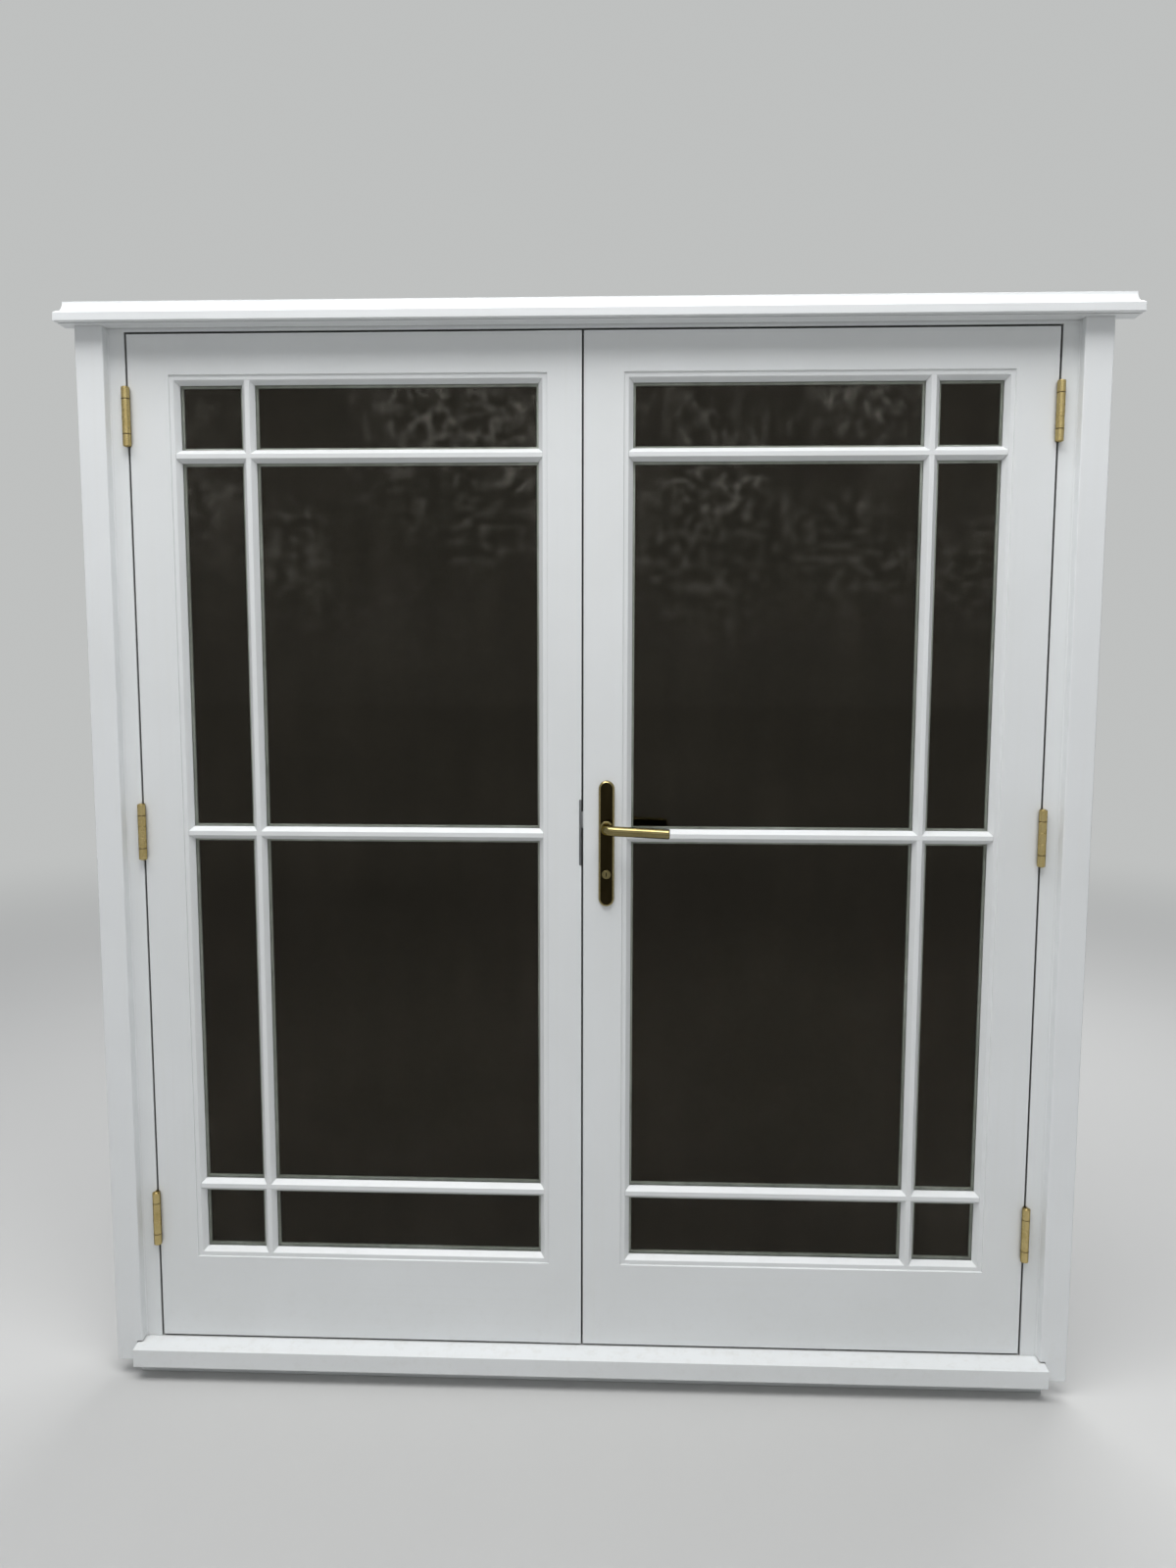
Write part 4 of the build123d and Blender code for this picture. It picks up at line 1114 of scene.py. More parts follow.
def cut_away(piece: bpy.types.Object, tools: Iterable[bpy.types.Object]) -> None:
    """Take tools out of a piece and remove them.

    Args:
        piece: The piece.
        tools: Closed parts that lie where the piece is hollow.
    """
    for tool in tools:
        modifier = piece.modifiers.new("cut", "BOOLEAN")
        modifier.operation = "DIFFERENCE"
        modifier.solver = "EXACT"
        modifier.object = tool
        settle(piece)
        bpy.data.objects.remove(tool)


def moved(piece: bpy.types.Object, matrix: Matrix) -> bpy.types.Object:
    """Move a piece's mesh and leave its object at the origin."""
    piece.data.transform(matrix)
    return piece


class Workshop:
    """The frame, the finishes and the trees, with the steps that every sub-assembly shares."""

    def __init__(self, frame: dict[str, Any]) -> None:
        """Keep what the sub-assemblies need.
        """
        self.nodes: dict[str, bpy.types.Object] = frame["nodes"]
        self.finishes = FinishBook()
        self.repeater = Repeater()
        self.count = 0

    def dress(self, piece: bpy.types.Object, *finishes: str) -> None:
        """Give a piece its materials."""
        piece.data.materials.clear()
        for finish in finishes:
            piece.data.materials.append(self.finishes.get(finish))

    def hand_over(self, piece: bpy.types.Object, body: Body, slot: Slot, *replaced: str) -> None:
        """Put a finished piece on its body.

        Args:
            piece: The piece.
            body: Body that carries it.
            slot: Not used.
            replaced: CAD nodes that it stands for.
        """
        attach(piece, body.value)
        if replaced:
            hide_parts(*replaced)
        self.count += 1
        LOG.info("%-34s %6d faces on %s", piece.name, len(piece.data.polygons), body.value)

    def set_out(self, name: str, part: bpy.types.Object, places: Sequence[Place], finish: str,
                body: Body, slot: Slot, *replaced: str) -> None:
        """Repeat a part at its places and hand the result over.

        Args:
            name: Name of the piece.
            part: The part, with its foot at the origin and its axis along Z.
            places: Where the copies go.
            finish: Name of their finish.
            body: Body that carries them.
            slot: The record's slot.
            replaced: CAD nodes that they stand for.
        """
        piece = self.repeater.scatter(name, part, places, self.finishes.get(finish))
        self.hand_over(piece, body, slot, *replaced)

    def dress_node(self, node: str, ending: str, finish: str, body: Body, slot: Slot,
                   ease: float, others: Sequence[str] = (), crease: float = ROUND_CREASE) -> None:
        """Round and dress a copy of a CAD node, and hand it over in the node's place.

        Args:
            node: Name of the node.
            ending: What its name takes behind it.
            finish: Name of its finish.
            body: Body that carries it.
            slot: The record's slot.
            ease: Width of the rounding.
            others: Nodes that it is joined to; edges that lie on them stay sharp.
            crease: Angle in degrees over which an edge is rounded.
        """
        piece = self.eased_copy(node, f"{node}_{ending}", ease, others, crease)
        self.dress(piece, finish)
        self.hand_over(piece, body, slot, node)

    def eased_copy(self, node: str, name: str, ease: float, others: Sequence[str],
                   crease: float) -> bpy.types.Object:
        """Copy of a CAD node with its free edges rounded.

        Args:
            node: Name of the node.
            name: Name of the piece.
            ease: Width of the rounding.
            others: Nodes that it is joined to; edges that lie on them stay sharp.
            crease: Angle in degrees over which an edge is rounded.

        Returns:
            The piece.
        """
        mesh = self.nodes[node].data.copy()
        mesh.name = name
        mesh.materials.clear()
        trees = [BVHTree.FromPolygons([v.co for v in self.nodes[o].data.vertices],
                                      [p.vertices for p in self.nodes[o].data.polygons])
                 for o in others]
        with edited(mesh) as shape:
            bmesh.ops.remove_doubles(shape, verts=shape.verts, dist=MERGE_DISTANCE)
            bmesh.ops.dissolve_limit(shape, angle_limit=math.radians(FLAT), verts=shape.verts,
                                     edges=shape.edges, delimit={"NORMAL"})
            weight = shape.edges.layers.float.new("bevel_weight_edge")
            for edge in shape.edges:
                sharp = edge.is_manifold and edge.calc_face_angle(0.0) >= math.radians(crease)
                long = edge.calc_length() >= ease * SHORTEST_EASED
                if sharp and long and self.is_free(edge, trees):
                    edge[weight] = 1.0
        if "custom_normal" in mesh.attributes:
            mesh.attributes.remove(mesh.attributes["custom_normal"])
        smooth(mesh, crease)
        piece = shown(name, mesh)
        ease_edges(piece, ease, limit="WEIGHT")
        clear_slivers(piece.data)
        return piece

    @staticmethod
    def is_free(edge: bmesh.types.BMEdge, trees: Sequence[BVHTree]) -> bool:
        """Whether an edge lies clear of its neighbours along its whole length."""
        points = [edge.verts[0].co.lerp(edge.verts[1].co, share) for share in (0.25, 0.5, 0.75)]
        return all(tree.find_nearest(point, TOUCHING)[0] is None
                   for point in points for tree in trees)


@dataclass
class SubAssembly:
    """Pieces that are built together.

    Attributes:
        shop: The workshop that dresses the pieces and hands them over.
    """

    shop: Workshop

    def build(self) -> None:
        """Build the pieces."""
        raise NotImplementedError


@dataclass
class Board:
    """One painted timber of a sub-assembly."""

    node: str
    grain: Grain
    ease: float


@dataclass
class Joinery(SubAssembly):
    """Painted timbers that are joined together on one body."""

    body: Body
    slot: Slot
    paint: str
    boards: list[Board]

    def build(self) -> None:
        """Round the free arrises of each timber and paint it."""
        names = [board.node for board in self.boards]
        for board in self.boards:
            others = [name for name in names if name != board.node]
            self.shop.dress_node(board.node, "painted", f"{self.paint}_{board.grain.value}",
                                 self.body, self.slot, board.ease, others, CREASE)


@dataclass
class SealedUnits(SubAssembly):
    """The eight double glazed units of one leaf."""

    side: str
    body: Body
    seed: int
    columns: int = 9
    rows: int = 17
    least_bow: float = 0.25
    largest_bow: float = 0.35 * MM
    bow_seed_step: int = 31
    spacer_width: float = 9.5 * MM
    spacer_ease: float = 0.4 * MM
    sealant: float = 0.3 * MM
    hole_pitch: float = 13.0 * MM
    hole_radius: float = 0.55 * MM
    hole_height: float = 0.12 * MM
    hole_sides: int = 6

    def bowed(self, node: str, finish: str, way: float) -> None:
        """Replace one layer of glass by slabs that bow into or out of the cavity.

        Args:
            node: The CAD node of that layer.
            finish: Name of its finish.
            way: +1 where the glass bows into the room, -1 towards the garden.
        """
        draw = random.Random(self.seed + (0 if way > 0 else self.bow_seed_step))
        boxes = loose_parts(self.shop.nodes[node])
        bows = [way * self.largest_bow * draw.uniform(self.least_bow, 1.0) for _ in boxes]
        source = point_carrier(node, [(low + high) / 2 for low, high in boxes],
                               stretch=[high - low for low, high in boxes], bow=bows)
        piece = self.shop.repeater.apply(self.shop.repeater.panes, source, node + "_bowed",
                                         Columns=self.columns, Rows=self.rows,
                                         Finish=self.shop.finishes.get(finish))
        tidy_mesh(piece.data, ROUND_CREASE)
        self.shop.hand_over(piece, self.body, Slot.GLASS, node)

    def spacer_bars(self, boxes: Sequence[Box]) -> None:
        """Bars between the panes, held off both by a film of sealant.

        Args:
            boxes: Outer corners of each unit's bars.
        """
        front = boxes[0][0].y + self.sealant
        back = boxes[0][1].y - self.sealant
        section = [(0.0, front), (self.spacer_width, front), (self.spacer_width, back),
                   (0.0, back)]
        piece = mitred_strips(self.side + "_spacer_bars", boxes, section, self.spacer_ease)
        self.shop.dress(piece, "spacer_metal")
        self.shop.hand_over(piece, self.body, Slot.SPACER, self.side + "_glass_spacers")

    def spacer_holes(self, boxes: Sequence[Box]) -> None:
        """Rows of breather holes along the spacer bars, as flat discs painted near black for the
        shade inside the holes.

        Args:
            boxes: Outer corners of each unit's bars.
        """
        dot = lathe("breather_hole", [(self.hole_radius, -self.hole_height),
                                      (self.hole_radius, self.hole_height)], self.hole_sides)
        places = []
        for low, high in boxes:
            for along, across, edge, inward in frame_sides(low, high):
                start = low[along] + self.spacer_width
                run = high[along] - self.spacer_width - start
                count = max(2, round(run / self.hole_pitch) - 1)
                facing = Vector((0.0, 0.0, 0.0))
                facing[across] = inward
                for i in range(count):
                    at = (low + high) / 2
                    at[across] = edge + inward * self.spacer_width
                    at[along] = start + run * (i + 1) / (count + 1)
                    places.append(Place(at, facing, INWARD))
        self.shop.set_out(self.side + "_spacer_holes", dot, places, "spacer_holes", self.body,
                          Slot.SPACER)
        bpy.data.objects.remove(dot)

    def build(self) -> None:
        """Dress the glass, the spacer bars and their holes."""
        self.bowed(self.side + "_outer_glass", "pane_glass", 1.0)
        self.bowed(self.side + "_inner_glass", "inner_pane_glass", -1.0)
        boxes = loose_parts(self.shop.nodes[self.side + "_glass_spacers"])
        self.spacer_bars(boxes)
        self.spacer_holes(boxes)


@dataclass
class GlazingBeads(SubAssembly):
    """Mitred room side beads of one leaf, with filled and painted pin heads along them."""

    side: str
    body: Body
    seed: int
    width: float = 8.0 * MM
    flat: float = 3.0 * MM
    nose: float = 10.0 * MM
    ease: float = 0.6 * MM
    pitch: float = 170.0 * MM
    straying: float = 6.0
    radius: float = 1.3 * MM
    height: float = 0.16 * MM
    offset: float = 1.5 * MM
    dimple_sides: int = 14
    pin_seed_step: int = 40

    def beads(self, node: str, boxes: Sequence[Box]) -> None:
        """Run the beads round every pane.

        Args:
            node: CAD node of the beads.
            boxes: Outer corners of each pane's beads.
        """
        front, back = boxes[0][0].y, boxes[0][1].y
        section = [(0.0, front), (self.width, front), (self.width, front + self.nose),
                   (self.flat, back), (0.0, back)]
        piece = mitred_strips(node + "_painted", boxes, section, self.ease)
        self.shop.dress(piece, "leaf_paint_upright")
        self.shop.hand_over(piece, self.body, Slot.TIMBER, node)

    def pins(self, boxes: Sequence[Box]) -> None:
        """Put a low dimple of filler over every pin.

        Args:
            boxes: Outer corners of each pane's beads.
        """
        draw = random.Random(self.seed + self.pin_seed_step)
        r, h = self.radius, self.height
        dimple = lathe("pin_filler", [(r, -h), (r, h * 0.1), (r * 0.72, h * 0.75), (r * 0.25, h)],
                       self.dimple_sides)
        places = []
        for low, high in boxes:
            for along, across, edge, inward in frame_sides(low, high):
                run = high[along] - low[along]
                count = max(2, round(run / self.pitch))
                for i in range(count):
                    at = Vector(high)
                    at[across] = edge + inward * self.offset
                    at[along] = low[along] + run * (i + 0.5) / count
                    at[along] += draw.uniform(-self.straying, self.straying) * MM
                    places.append(Place(at, INWARD, ACROSS))
        self.shop.set_out(self.side + "_bead_pins", dimple, places, "leaf_paint_upright",
                          self.body, Slot.TIMBER)
        bpy.data.objects.remove(dimple)

    def build(self) -> None:
        """Build the beads and their pins."""
        node = self.side + "_glazing_beads"
        boxes = loose_parts(self.shop.nodes[node])
        self.beads(node, boxes)
        self.pins(boxes)


@dataclass
class Screws:
    """Countersunk screws with a cross recess."""

    head_radius: float = 4.0 * MM
    head_depth: float = 2.0 * MM
    shank_radius: float = 2.0 * MM
    length: float = 30.0 * MM
    recess: float = 2.3 * MM
    recess_width: float = 0.9 * MM
    recess_depth: float = 1.3 * MM
    crown: float = 0.12 * MM
    point: float = 3.5 * MM
    rim: float = 0.15 * MM
    sides: int = 28

    def part(self, name: str) -> bpy.types.Object:
        """One screw with its head's face at Z 0, pointing out along Z.

        Args:
            name: Name of the part.

        Returns:
            The screw.
        """
        r, shank = self.head_radius, self.shank_radius
        outline = [(shank * 0.25, -self.length), (shank, -self.length + self.point),
                   (shank, -self.head_depth), (r, -self.rim), (r, 0.0),
                   (r * 0.92, self.crown * 0.5), (r * 0.4, self.crown), (r * 0.1, self.crown)]
        screw = lathe(name, outline, self.sides)
        half_length, half_width = self.recess, self.recess_width / 2
        tools = []
        for a, b in ((half_length, half_width), (half_width, half_length)):
            slot = prism("recess", [(-a, -b), (a, -b), (a, b), (-a, b)],
                         self.recess_depth + 1.0 * MM)
            tools.append(moved(slot, Matrix.Translation((0, 0, -self.recess_depth))))
        cut_away(screw, tools)
        tidy_mesh(screw.data)
        return screw


def stopped_turn(draw: random.Random, first: Vector, second: Vector) -> Vector:
    """Side of a screw that stopped anywhere in a quarter turn between two directions."""
    angle = draw.uniform(0.0, math.pi / 2)
    return first * math.cos(angle) + second * math.sin(angle)


@dataclass
class Hinges(SubAssembly):
    """Six butt hinges with washers, loose pins and their screws."""

    axis_x: float = 865.75 * MM
    barrel_middle: float = -8.0 * MM
    flap_ease: float = 0.7 * MM
    pin_radius: float = 3.5 * MM
    pin_sides: int = 32
    button_radius: float = 5.0 * MM
    button_height: float = 1.8 * MM
    dome: tuple[Point, ...] = ((1.0, 0.35), (0.97, 0.5), (0.82, 0.76), (0.55, 0.93), (0.22, 1.0))
    washer_play: float = 0.05 * MM
    washer_sides: int = 40
    seed: int = 17
    screws: Screws = field(default_factory=Screws)

    def flaps(self) -> None:
        """Flaps and barrels, with the barrel ends eased so that the joints read as lines."""
        for node, body in (("hinge_frame_leaves", Body.FRAME),
                           ("left_hinge_leaves", Body.LEFT_DOOR),
                           ("right_hinge_leaves", Body.RIGHT_DOOR)):
            self.shop.dress_node(node, "brass", "hinge_brass", body, Slot.HINGE_BRASS,
                                 self.flap_ease)

    def turned(self, node: str, part: bpy.types.Object, boxes: Sequence[Box],
               finish: str) -> None:
        """Put a turned part on the hinges' axes, one at each solid of a CAD node.

        Args:
            node: The CAD node.
            part: The part.
            boxes: Boxes of the node's solids.
            finish: Name of the part's finish.
        """
        places = [Place(Vector(((low.x + high.x) / 2, self.barrel_middle, low.z)), UP, ACROSS)
                  for low, high in boxes]
        self.shop.set_out(node + "_turned", part, places, finish, Body.FRAME, Slot.HINGE_BRASS,
                          node)
        bpy.data.objects.remove(part)

    def pins(self) -> None:
        """Pins with a domed button at each end."""
        boxes = loose_parts(self.shop.nodes["hinge_pins"])
        height = boxes[0][1].z - boxes[0][0].z
        b, h = self.button_radius, self.button_height
        dome = [(b * out, h * rise) for out, rise in self.dome]
        outline = [(r, h - z) for r, z in reversed(dome)]
        outline += [(b, h), (self.pin_radius, h), (self.pin_radius, height - h), (b, height - h)]
        outline += [(r, height - h + z) for r, z in dome]
        self.turned("hinge_pins", lathe("hinge_pin", outline, self.pin_sides), boxes,
                    "hinge_brass")

    def washers(self) -> None:
        """Washers in the end joints, with rounded outer edges."""
        boxes = loose_parts(self.shop.nodes["hinge_washers"])
        low, high = boxes[0]
        inner, outer = self.pin_radius + self.washer_play, (high.x - low.x) / 2
        thick = high.z - low.z
        edge = thick * 0.3
        section = [(inner, 0.0), (outer - edge, 0.0), (outer, edge), (outer, thick - edge),
                   (outer - edge, thick), (inner, thick)]
        shape = bmesh.new()
        loops = [[shape.verts.new((r * math.cos(a), r * math.sin(a), z)) for r, z in section]
                 for a in turns(self.washer_sides)]
        for first, second in zip(loops, loops[1:] + loops[:1]):
            for k in range(len(section)):
                m = (k + 1) % len(section)
                shape.faces.new((first[k], second[k], second[m], first[m]))
        self.turned("hinge_washers", part_from("hinge_washer", shape), boxes, "washer_brass")

    def set_screws(self) -> None:
        """Screws of every flap, each stopped at its own turn."""
        draw = random.Random(self.seed)
        screw = self.screws.part("flap_screw")
        for node, body in (("frame_hinge_screws", Body.FRAME),
                           ("left_hinge_screws", Body.LEFT_DOOR),
                           ("right_hinge_screws", Body.RIGHT_DOOR)):
            places = []
            for low, high in loose_parts(self.shop.nodes[node]):
                middle = (low + high) / 2
                beyond_axis = (abs(middle.x) > self.axis_x) == (middle.x > 0)
                out, face = (-ACROSS, low.x) if beyond_axis else (ACROSS, high.x)
                places.append(Place(Vector((face, middle.y, middle.z)), out,
                                    stopped_turn(draw, INWARD, UP)))
            self.shop.set_out(node + "_driven", screw, places, "hinge_brass", body,
                              Slot.HINGE_BRASS, node)
        bpy.data.objects.remove(screw)

    def build(self) -> None:
        """Build the flaps, pins, washers and screws."""
        self.flaps()
        self.pins()
        self.washers()
        self.set_screws()


@dataclass
class LeverFurniture(SubAssembly):
    """Levers, backplates, cylinder and the screws that clamp the plates."""

    axis_x: float = 39.75 * MM
    spindle_z: float = 1132.0 * MM
    cylinder_z: float = 1040.0 * MM
    leaf_thickness: float = 56.0 * MM
    plate_thickness: float = 7.0 * MM
    plate_width: float = 30.0 * MM
    plate_low: float = 977.0 * MM
    plate_high: float = 1221.0 * MM
    plate_edge: float = 3.2 * MM
    plate_rim: float = 2.6 * MM
    plate_arc_steps: int = 28
    flat_face: float = 0.985
    neck_hole: float = 8.06 * MM
    cylinder_hole: float = 8.7 * MM
    hole_sides: int = 48
    tube_radius: float = 9.5 * MM
    tube_sides: int = 56
    lever_crease: float = 34.0
    neck_radius: float = 8.0 * MM
    neck_seat: float = 2.0 * MM
    collar_radius: float = 12.0 * MM
    collar_height: float = 4.0 * MM
    collar_edge: float = 0.9 * MM
    collar_gap: float = 0.3 * MM
    reach: float = 57.0 * MM
    bend: float = 14.0 * MM
    bend_steps: int = 16
    length: float = 120.0 * MM
    nose: float = 2.4 * MM
    droop: float = 2.7
    clamp_inset: float = 14.0 * MM
    clamp_seed: int = 3
    body_ease: float = 0.5 * MM
    plug_ease: float = 0.25 * MM
    clamp: Screws = field(default_factory=lambda: Screws(
        head_radius=4.5 * MM, head_depth=2.2 * MM, shank_radius=2.5 * MM, length=66.0 * MM,
        recess=2.6 * MM, recess_width=1.1 * MM))

    def neck_line(self, straight: float) -> list[Point]:
        """Turned neck of a lever.

        Args:
            straight: Way out from the plate's face at which the bend starts.

        Returns:
            Way out and radius of its points, from the foot to the bend.
        """
        gap, edge, ring, neck = (self.collar_gap, self.collar_edge, self.collar_radius,
                                 self.neck_radius)
        top = gap + self.collar_height
        line = [(self.neck_seat - self.plate_thickness, neck), (gap, neck), (gap, ring - edge)]
        line += [(gap + edge * (1 - math.cos(a)), ring - edge * (1 - math.sin(a)))
                 for a in radians(30, 60, 90)]
        line += [(top - edge * (1 - math.sin(a)), ring - edge * (1 - math.cos(a)))
                 for a in radians(0, 30, 60, 90)]
        line += [(top, neck + 1.4 * MM), (top + 0.5 * MM, neck + 0.4 * MM), (top + 1.4 * MM, neck)]
        swell = ((9.0, neck), (7.0, neck + 0.25 * MM), (4.0, self.tube_radius - 0.25 * MM),
                 (1.5, self.tube_radius))
        return line + [(straight - back * MM, radius) for back, radius in swell]

    def lever_line(self) -> list[tuple[Vector, float]]:
        """Middle line of a lever for the garden side, about its spindle at the plate's face.

        Returns:
            Its points and the radius at each.
        """
        straight = self.reach - self.plate_thickness - self.bend
        tube, nose = self.tube_radius, self.nose
        run_out = straight + self.bend
        points = [(0.0, out, radius) for out, radius in self.neck_line(straight)]
        for i in range(self.bend_steps + 1):
            a = math.pi / 2 * i / self.bend_steps
            points.append((self.bend * (1 - math.cos(a)), straight + self.bend * math.sin(a),
                           tube))
        points += [(self.bend + (self.length - nose - self.bend) * share, run_out, tube)
                   for share in (0.33, 0.66)]
        points += [(self.length - nose * (1 - math.sin(a)), run_out,
                    tube - nose * (1 - math.cos(a))) for a in radians(0, 15, 30, 45, 60, 75, 88)]
        return [(Vector((x, -out, 0.0)), radius) for x, out, radius in points]

    def levers(self) -> None:
        """Both levers, swept with their collars and rounded noses."""
        droop = Matrix.Rotation(math.radians(self.droop), 4, "Y")
        garden_face, room_face = -self.plate_thickness, self.leaf_thickness + self.plate_thickness
        for node, face, flip in (("outside_lever", garden_face, 1.0),
                                 ("inside_lever", room_face, -1.0)):
            spot = Vector((self.axis_x, face, self.spindle_z))
            line = [(droop @ Vector((point.x, point.y * flip, point.z)) + spot, radius)
                    for point, radius in self.lever_line()]
            piece = self.shop.repeater.tube(node + "_turned", line, self.tube_sides,
                                            self.shop.finishes.get("polished_brass"))
            tidy_mesh(piece.data, self.lever_crease)
            self.shop.hand_over(piece, Body.LEVERS, Slot.POLISHED_BRASS, node)

    def plate_ring(self, inset: float) -> list[Point]:
        """Round ended outline of a plate about its own middle.

        Args:
            inset: Way in from the plate's edge.

        Returns:
            The outline's points.
        """
        radius = self.plate_width / 2 - inset
        half = (self.plate_high - self.plate_low) / 2 - self.plate_width / 2
        return (round_arc((0.0, half), radius, 0, 180, self.plate_arc_steps)
                + round_arc((0.0, -half), radius, 180, 360, self.plate_arc_steps))

    def plate(self, name: str) -> bpy.types.Object:
        """A plate that lies on Z 0 with its face up, its long side along Y, bored twice.

        Args:
            name: Name of the piece.

        Returns:
            The plate.
        """
        top, rim, edge = self.plate_thickness, self.plate_rim, self.plate_edge
        middle = (self.plate_low + self.plate_high) / 2
        levels = ((0.0, 0.0), (0.0, top - edge), (0.12 * MM, top - edge + 0.45 * MM),
                  (rim - 0.35 * MM, top - 0.42 * MM), (rim, top - 0.14 * MM),
                  (rim + 0.6 * MM, top))
        piece = stacked(name, [[(x, y, z) for x, y in self.plate_ring(inset)]
                               for inset, z in levels], PLATE_CREASE)
        tools = []
        for radius, height in ((self.neck_hole, self.spindle_z),
                               (self.cylinder_hole, self.cylinder_z)):
            tool = lathe("hole_tool", [(radius, -1.0 * MM), (radius, top + 1.0 * MM)],
                         self.hole_sides)
            tools.append(moved(tool, Matrix.Translation((0.0, height - middle, 0.0))))
        cut_away(piece, tools)
        tidy_mesh(piece.data, PLATE_CREASE)
        return piece

    def plates(self) -> None:
        """Backplates on both faces, the flat face in near-black brass as a painted dark reflection
        and the rim in brighter brass.
        """
        middle = (self.plate_low + self.plate_high) / 2
        upright = Matrix.Rotation(math.radians(90), 4, "X")
        turned = Matrix.Rotation(math.radians(180), 4, "Z") @ upright
        for node, turn, depth in (("outside_backplate", upright, 0.0),
                                  ("inside_backplate", turned, self.leaf_thickness)):
            piece = self.plate(node + "_pressed")
            moved(piece, Matrix.Translation((self.axis_x, depth, middle)) @ turn)
            self.shop.dress(piece, "rim_brass", "plate_brass")
            # faces that look straight out take the near-black brass, a painted dark reflection
            for face in piece.data.polygons:
                face.material_index = 1 if abs(face.normal.y) > self.flat_face else 0
            self.shop.hand_over(piece, Body.RIGHT_DOOR, Slot.POLISHED_BRASS, node)

    def clamps(self) -> None:
        """Plate screws, driven from the room side."""
        part = self.clamp.part("plate_screw")
        face = self.leaf_thickness + self.plate_thickness
        draw = random.Random(self.clamp_seed)
        places = [Place(Vector((self.axis_x, face, z)), INWARD, stopped_turn(draw, ACROSS, UP))
                  for z in (self.plate_low + self.clamp_inset, self.plate_high - self.clamp_inset)]
        self.shop.set_out("backplate_screws_driven", part, places, "polished_brass",
                          Body.RIGHT_DOOR, Slot.POLISHED_BRASS, "backplate_screws")
        bpy.data.objects.remove(part)

    def build(self) -> None:
        """Build all the furniture that is seen on the leaf's faces."""
        self.levers()
        self.plates()
        self.clamps()
        for node, body, ease in (("cylinder_body", Body.RIGHT_DOOR, self.body_ease),
                                 ("cylinder_plug", Body.KEY_PLUG, self.plug_ease)):
            self.shop.dress_node(node, "turned", "polished_brass", body, Slot.POLISHED_BRASS,
                                 ease)


@dataclass
class MetalWork(SubAssembly):
    """Lock, keeps and bolts: CAD shapes with their edges broken."""

    def build(self) -> None:
        """Ease and dress every part."""
        steel = ("lock_steel", Slot.LOCK_STEEL)
        case = ("case_steel", Slot.CASE_STEEL)
        for node, (finish, slot), body, ease in (
                ("spindle", case, Body.LEVERS, 0.3 * MM),
                ("lock_follower", case, Body.LEVERS, 0.4 * MM),
                ("lock_cases", case, Body.RIGHT_DOOR, 0.5 * MM),
                ("lock_faceplate", steel, Body.RIGHT_DOOR, 0.4 * MM),
                ("lock_keeps", steel, Body.LEFT_DOOR, 0.35 * MM),
                ("latch_bolt", steel, Body.LATCH, 0.6 * MM),
                ("dead_bolt", steel, Body.LOCK_BOLTS, 0.6 * MM),
                ("multipoint_bolts", steel, Body.LOCK_BOLTS, 0.6 * MM),
                ("flush_bolt_bodies", steel, Body.LEFT_DOOR, 0.5 * MM),
                ("flush_bolt_keeps", steel, Body.FRAME, 0.4 * MM),
                ("top_flush_bolt", steel, Body.TOP_FLUSH, 0.4 * MM),
                ("bottom_flush_bolt", steel, Body.BOTTOM_FLUSH, 0.4 * MM)):
            self.shop.dress_node(node, "eased", finish, body, slot, ease)


@dataclass
class KeepLip(SubAssembly):
    """Folded lip of the latch keep, which wraps onto the face of the left leaf."""

    low: float = 1056.0 * MM
    high: float = 1184.0 * MM
    edge_x: float = -8.75 * MM
    width: float = 4.4 * MM
    thickness: float = 0.55 * MM
    seat: float = 0.3 * MM
    corner: float = 1.6 * MM
    corner_steps: int = 6
    fold: float = 0.22 * MM

    def build(self) -> None:
        """Make the flat strip, with its outer corners rounded and its edges eased."""
        c = self.corner
        left, height = c - self.width, self.high - self.low
        outline = [(0.0, 0.0), (0.0, height)]
        outline += round_arc((left, height - c), c, 90, 180, self.corner_steps)
        outline += round_arc((left, c), c, 180, 270, self.corner_steps)
        strip = prism("latch_keep_lip", outline, self.thickness + self.seat)
        ease_edges(strip, self.fold, harden=False)
        upright = Matrix.Rotation(math.radians(90), 4, "X")
        moved(strip, Matrix.Translation((self.edge_x, self.seat, self.low)) @ upright)
        tidy_mesh(strip.data, ROUND_CREASE)
        self.shop.dress(strip, "lip_steel")
        self.shop.hand_over(strip, Body.LEFT_DOOR, Slot.LOCK_STEEL)


@dataclass
class EdgeScrews(SubAssembly):
    """Screws in the faceplate of the lock and in the keeps of the other leaf."""

    face_heights: tuple[float, ...] = (0.236, 0.420, 0.640, 0.860, 0.948, 1.212, 1.430, 1.640,
                                       1.760, 1.900)
    keep_heights: tuple[float, ...] = (0.252, 0.300, 1.063, 1.118, 1.177, 1.836, 1.884)
    lock_plane: float = 13.5 * MM
    face_x: float = -5.25 * MM
    keep_x: float = -8.75 * MM
    seed: int = 23
    screw: Screws = field(default_factory=lambda: Screws(
        head_radius=3.4 * MM, head_depth=1.8 * MM, shank_radius=1.8 * MM, length=22.0 * MM,
        recess=1.9 * MM, recess_width=0.8 * MM))

    def build(self) -> None:
        """Drive the screws along both edges."""
        part = self.screw.part("edge_screw")
        draw = random.Random(self.seed)
        for name, x, out, heights, body in (
                ("faceplate_screws", self.face_x, -ACROSS, self.face_heights, Body.RIGHT_DOOR),
                ("keep_screws", self.keep_x, ACROSS, self.keep_heights, Body.LEFT_DOOR)):
            places = [Place(Vector((x, self.lock_plane, z)), out, stopped_turn(draw, INWARD, UP))
                      for z in heights]
            self.shop.set_out(name, part, places, "lock_steel", body, Slot.LOCK_STEEL)
        bpy.data.objects.remove(part)


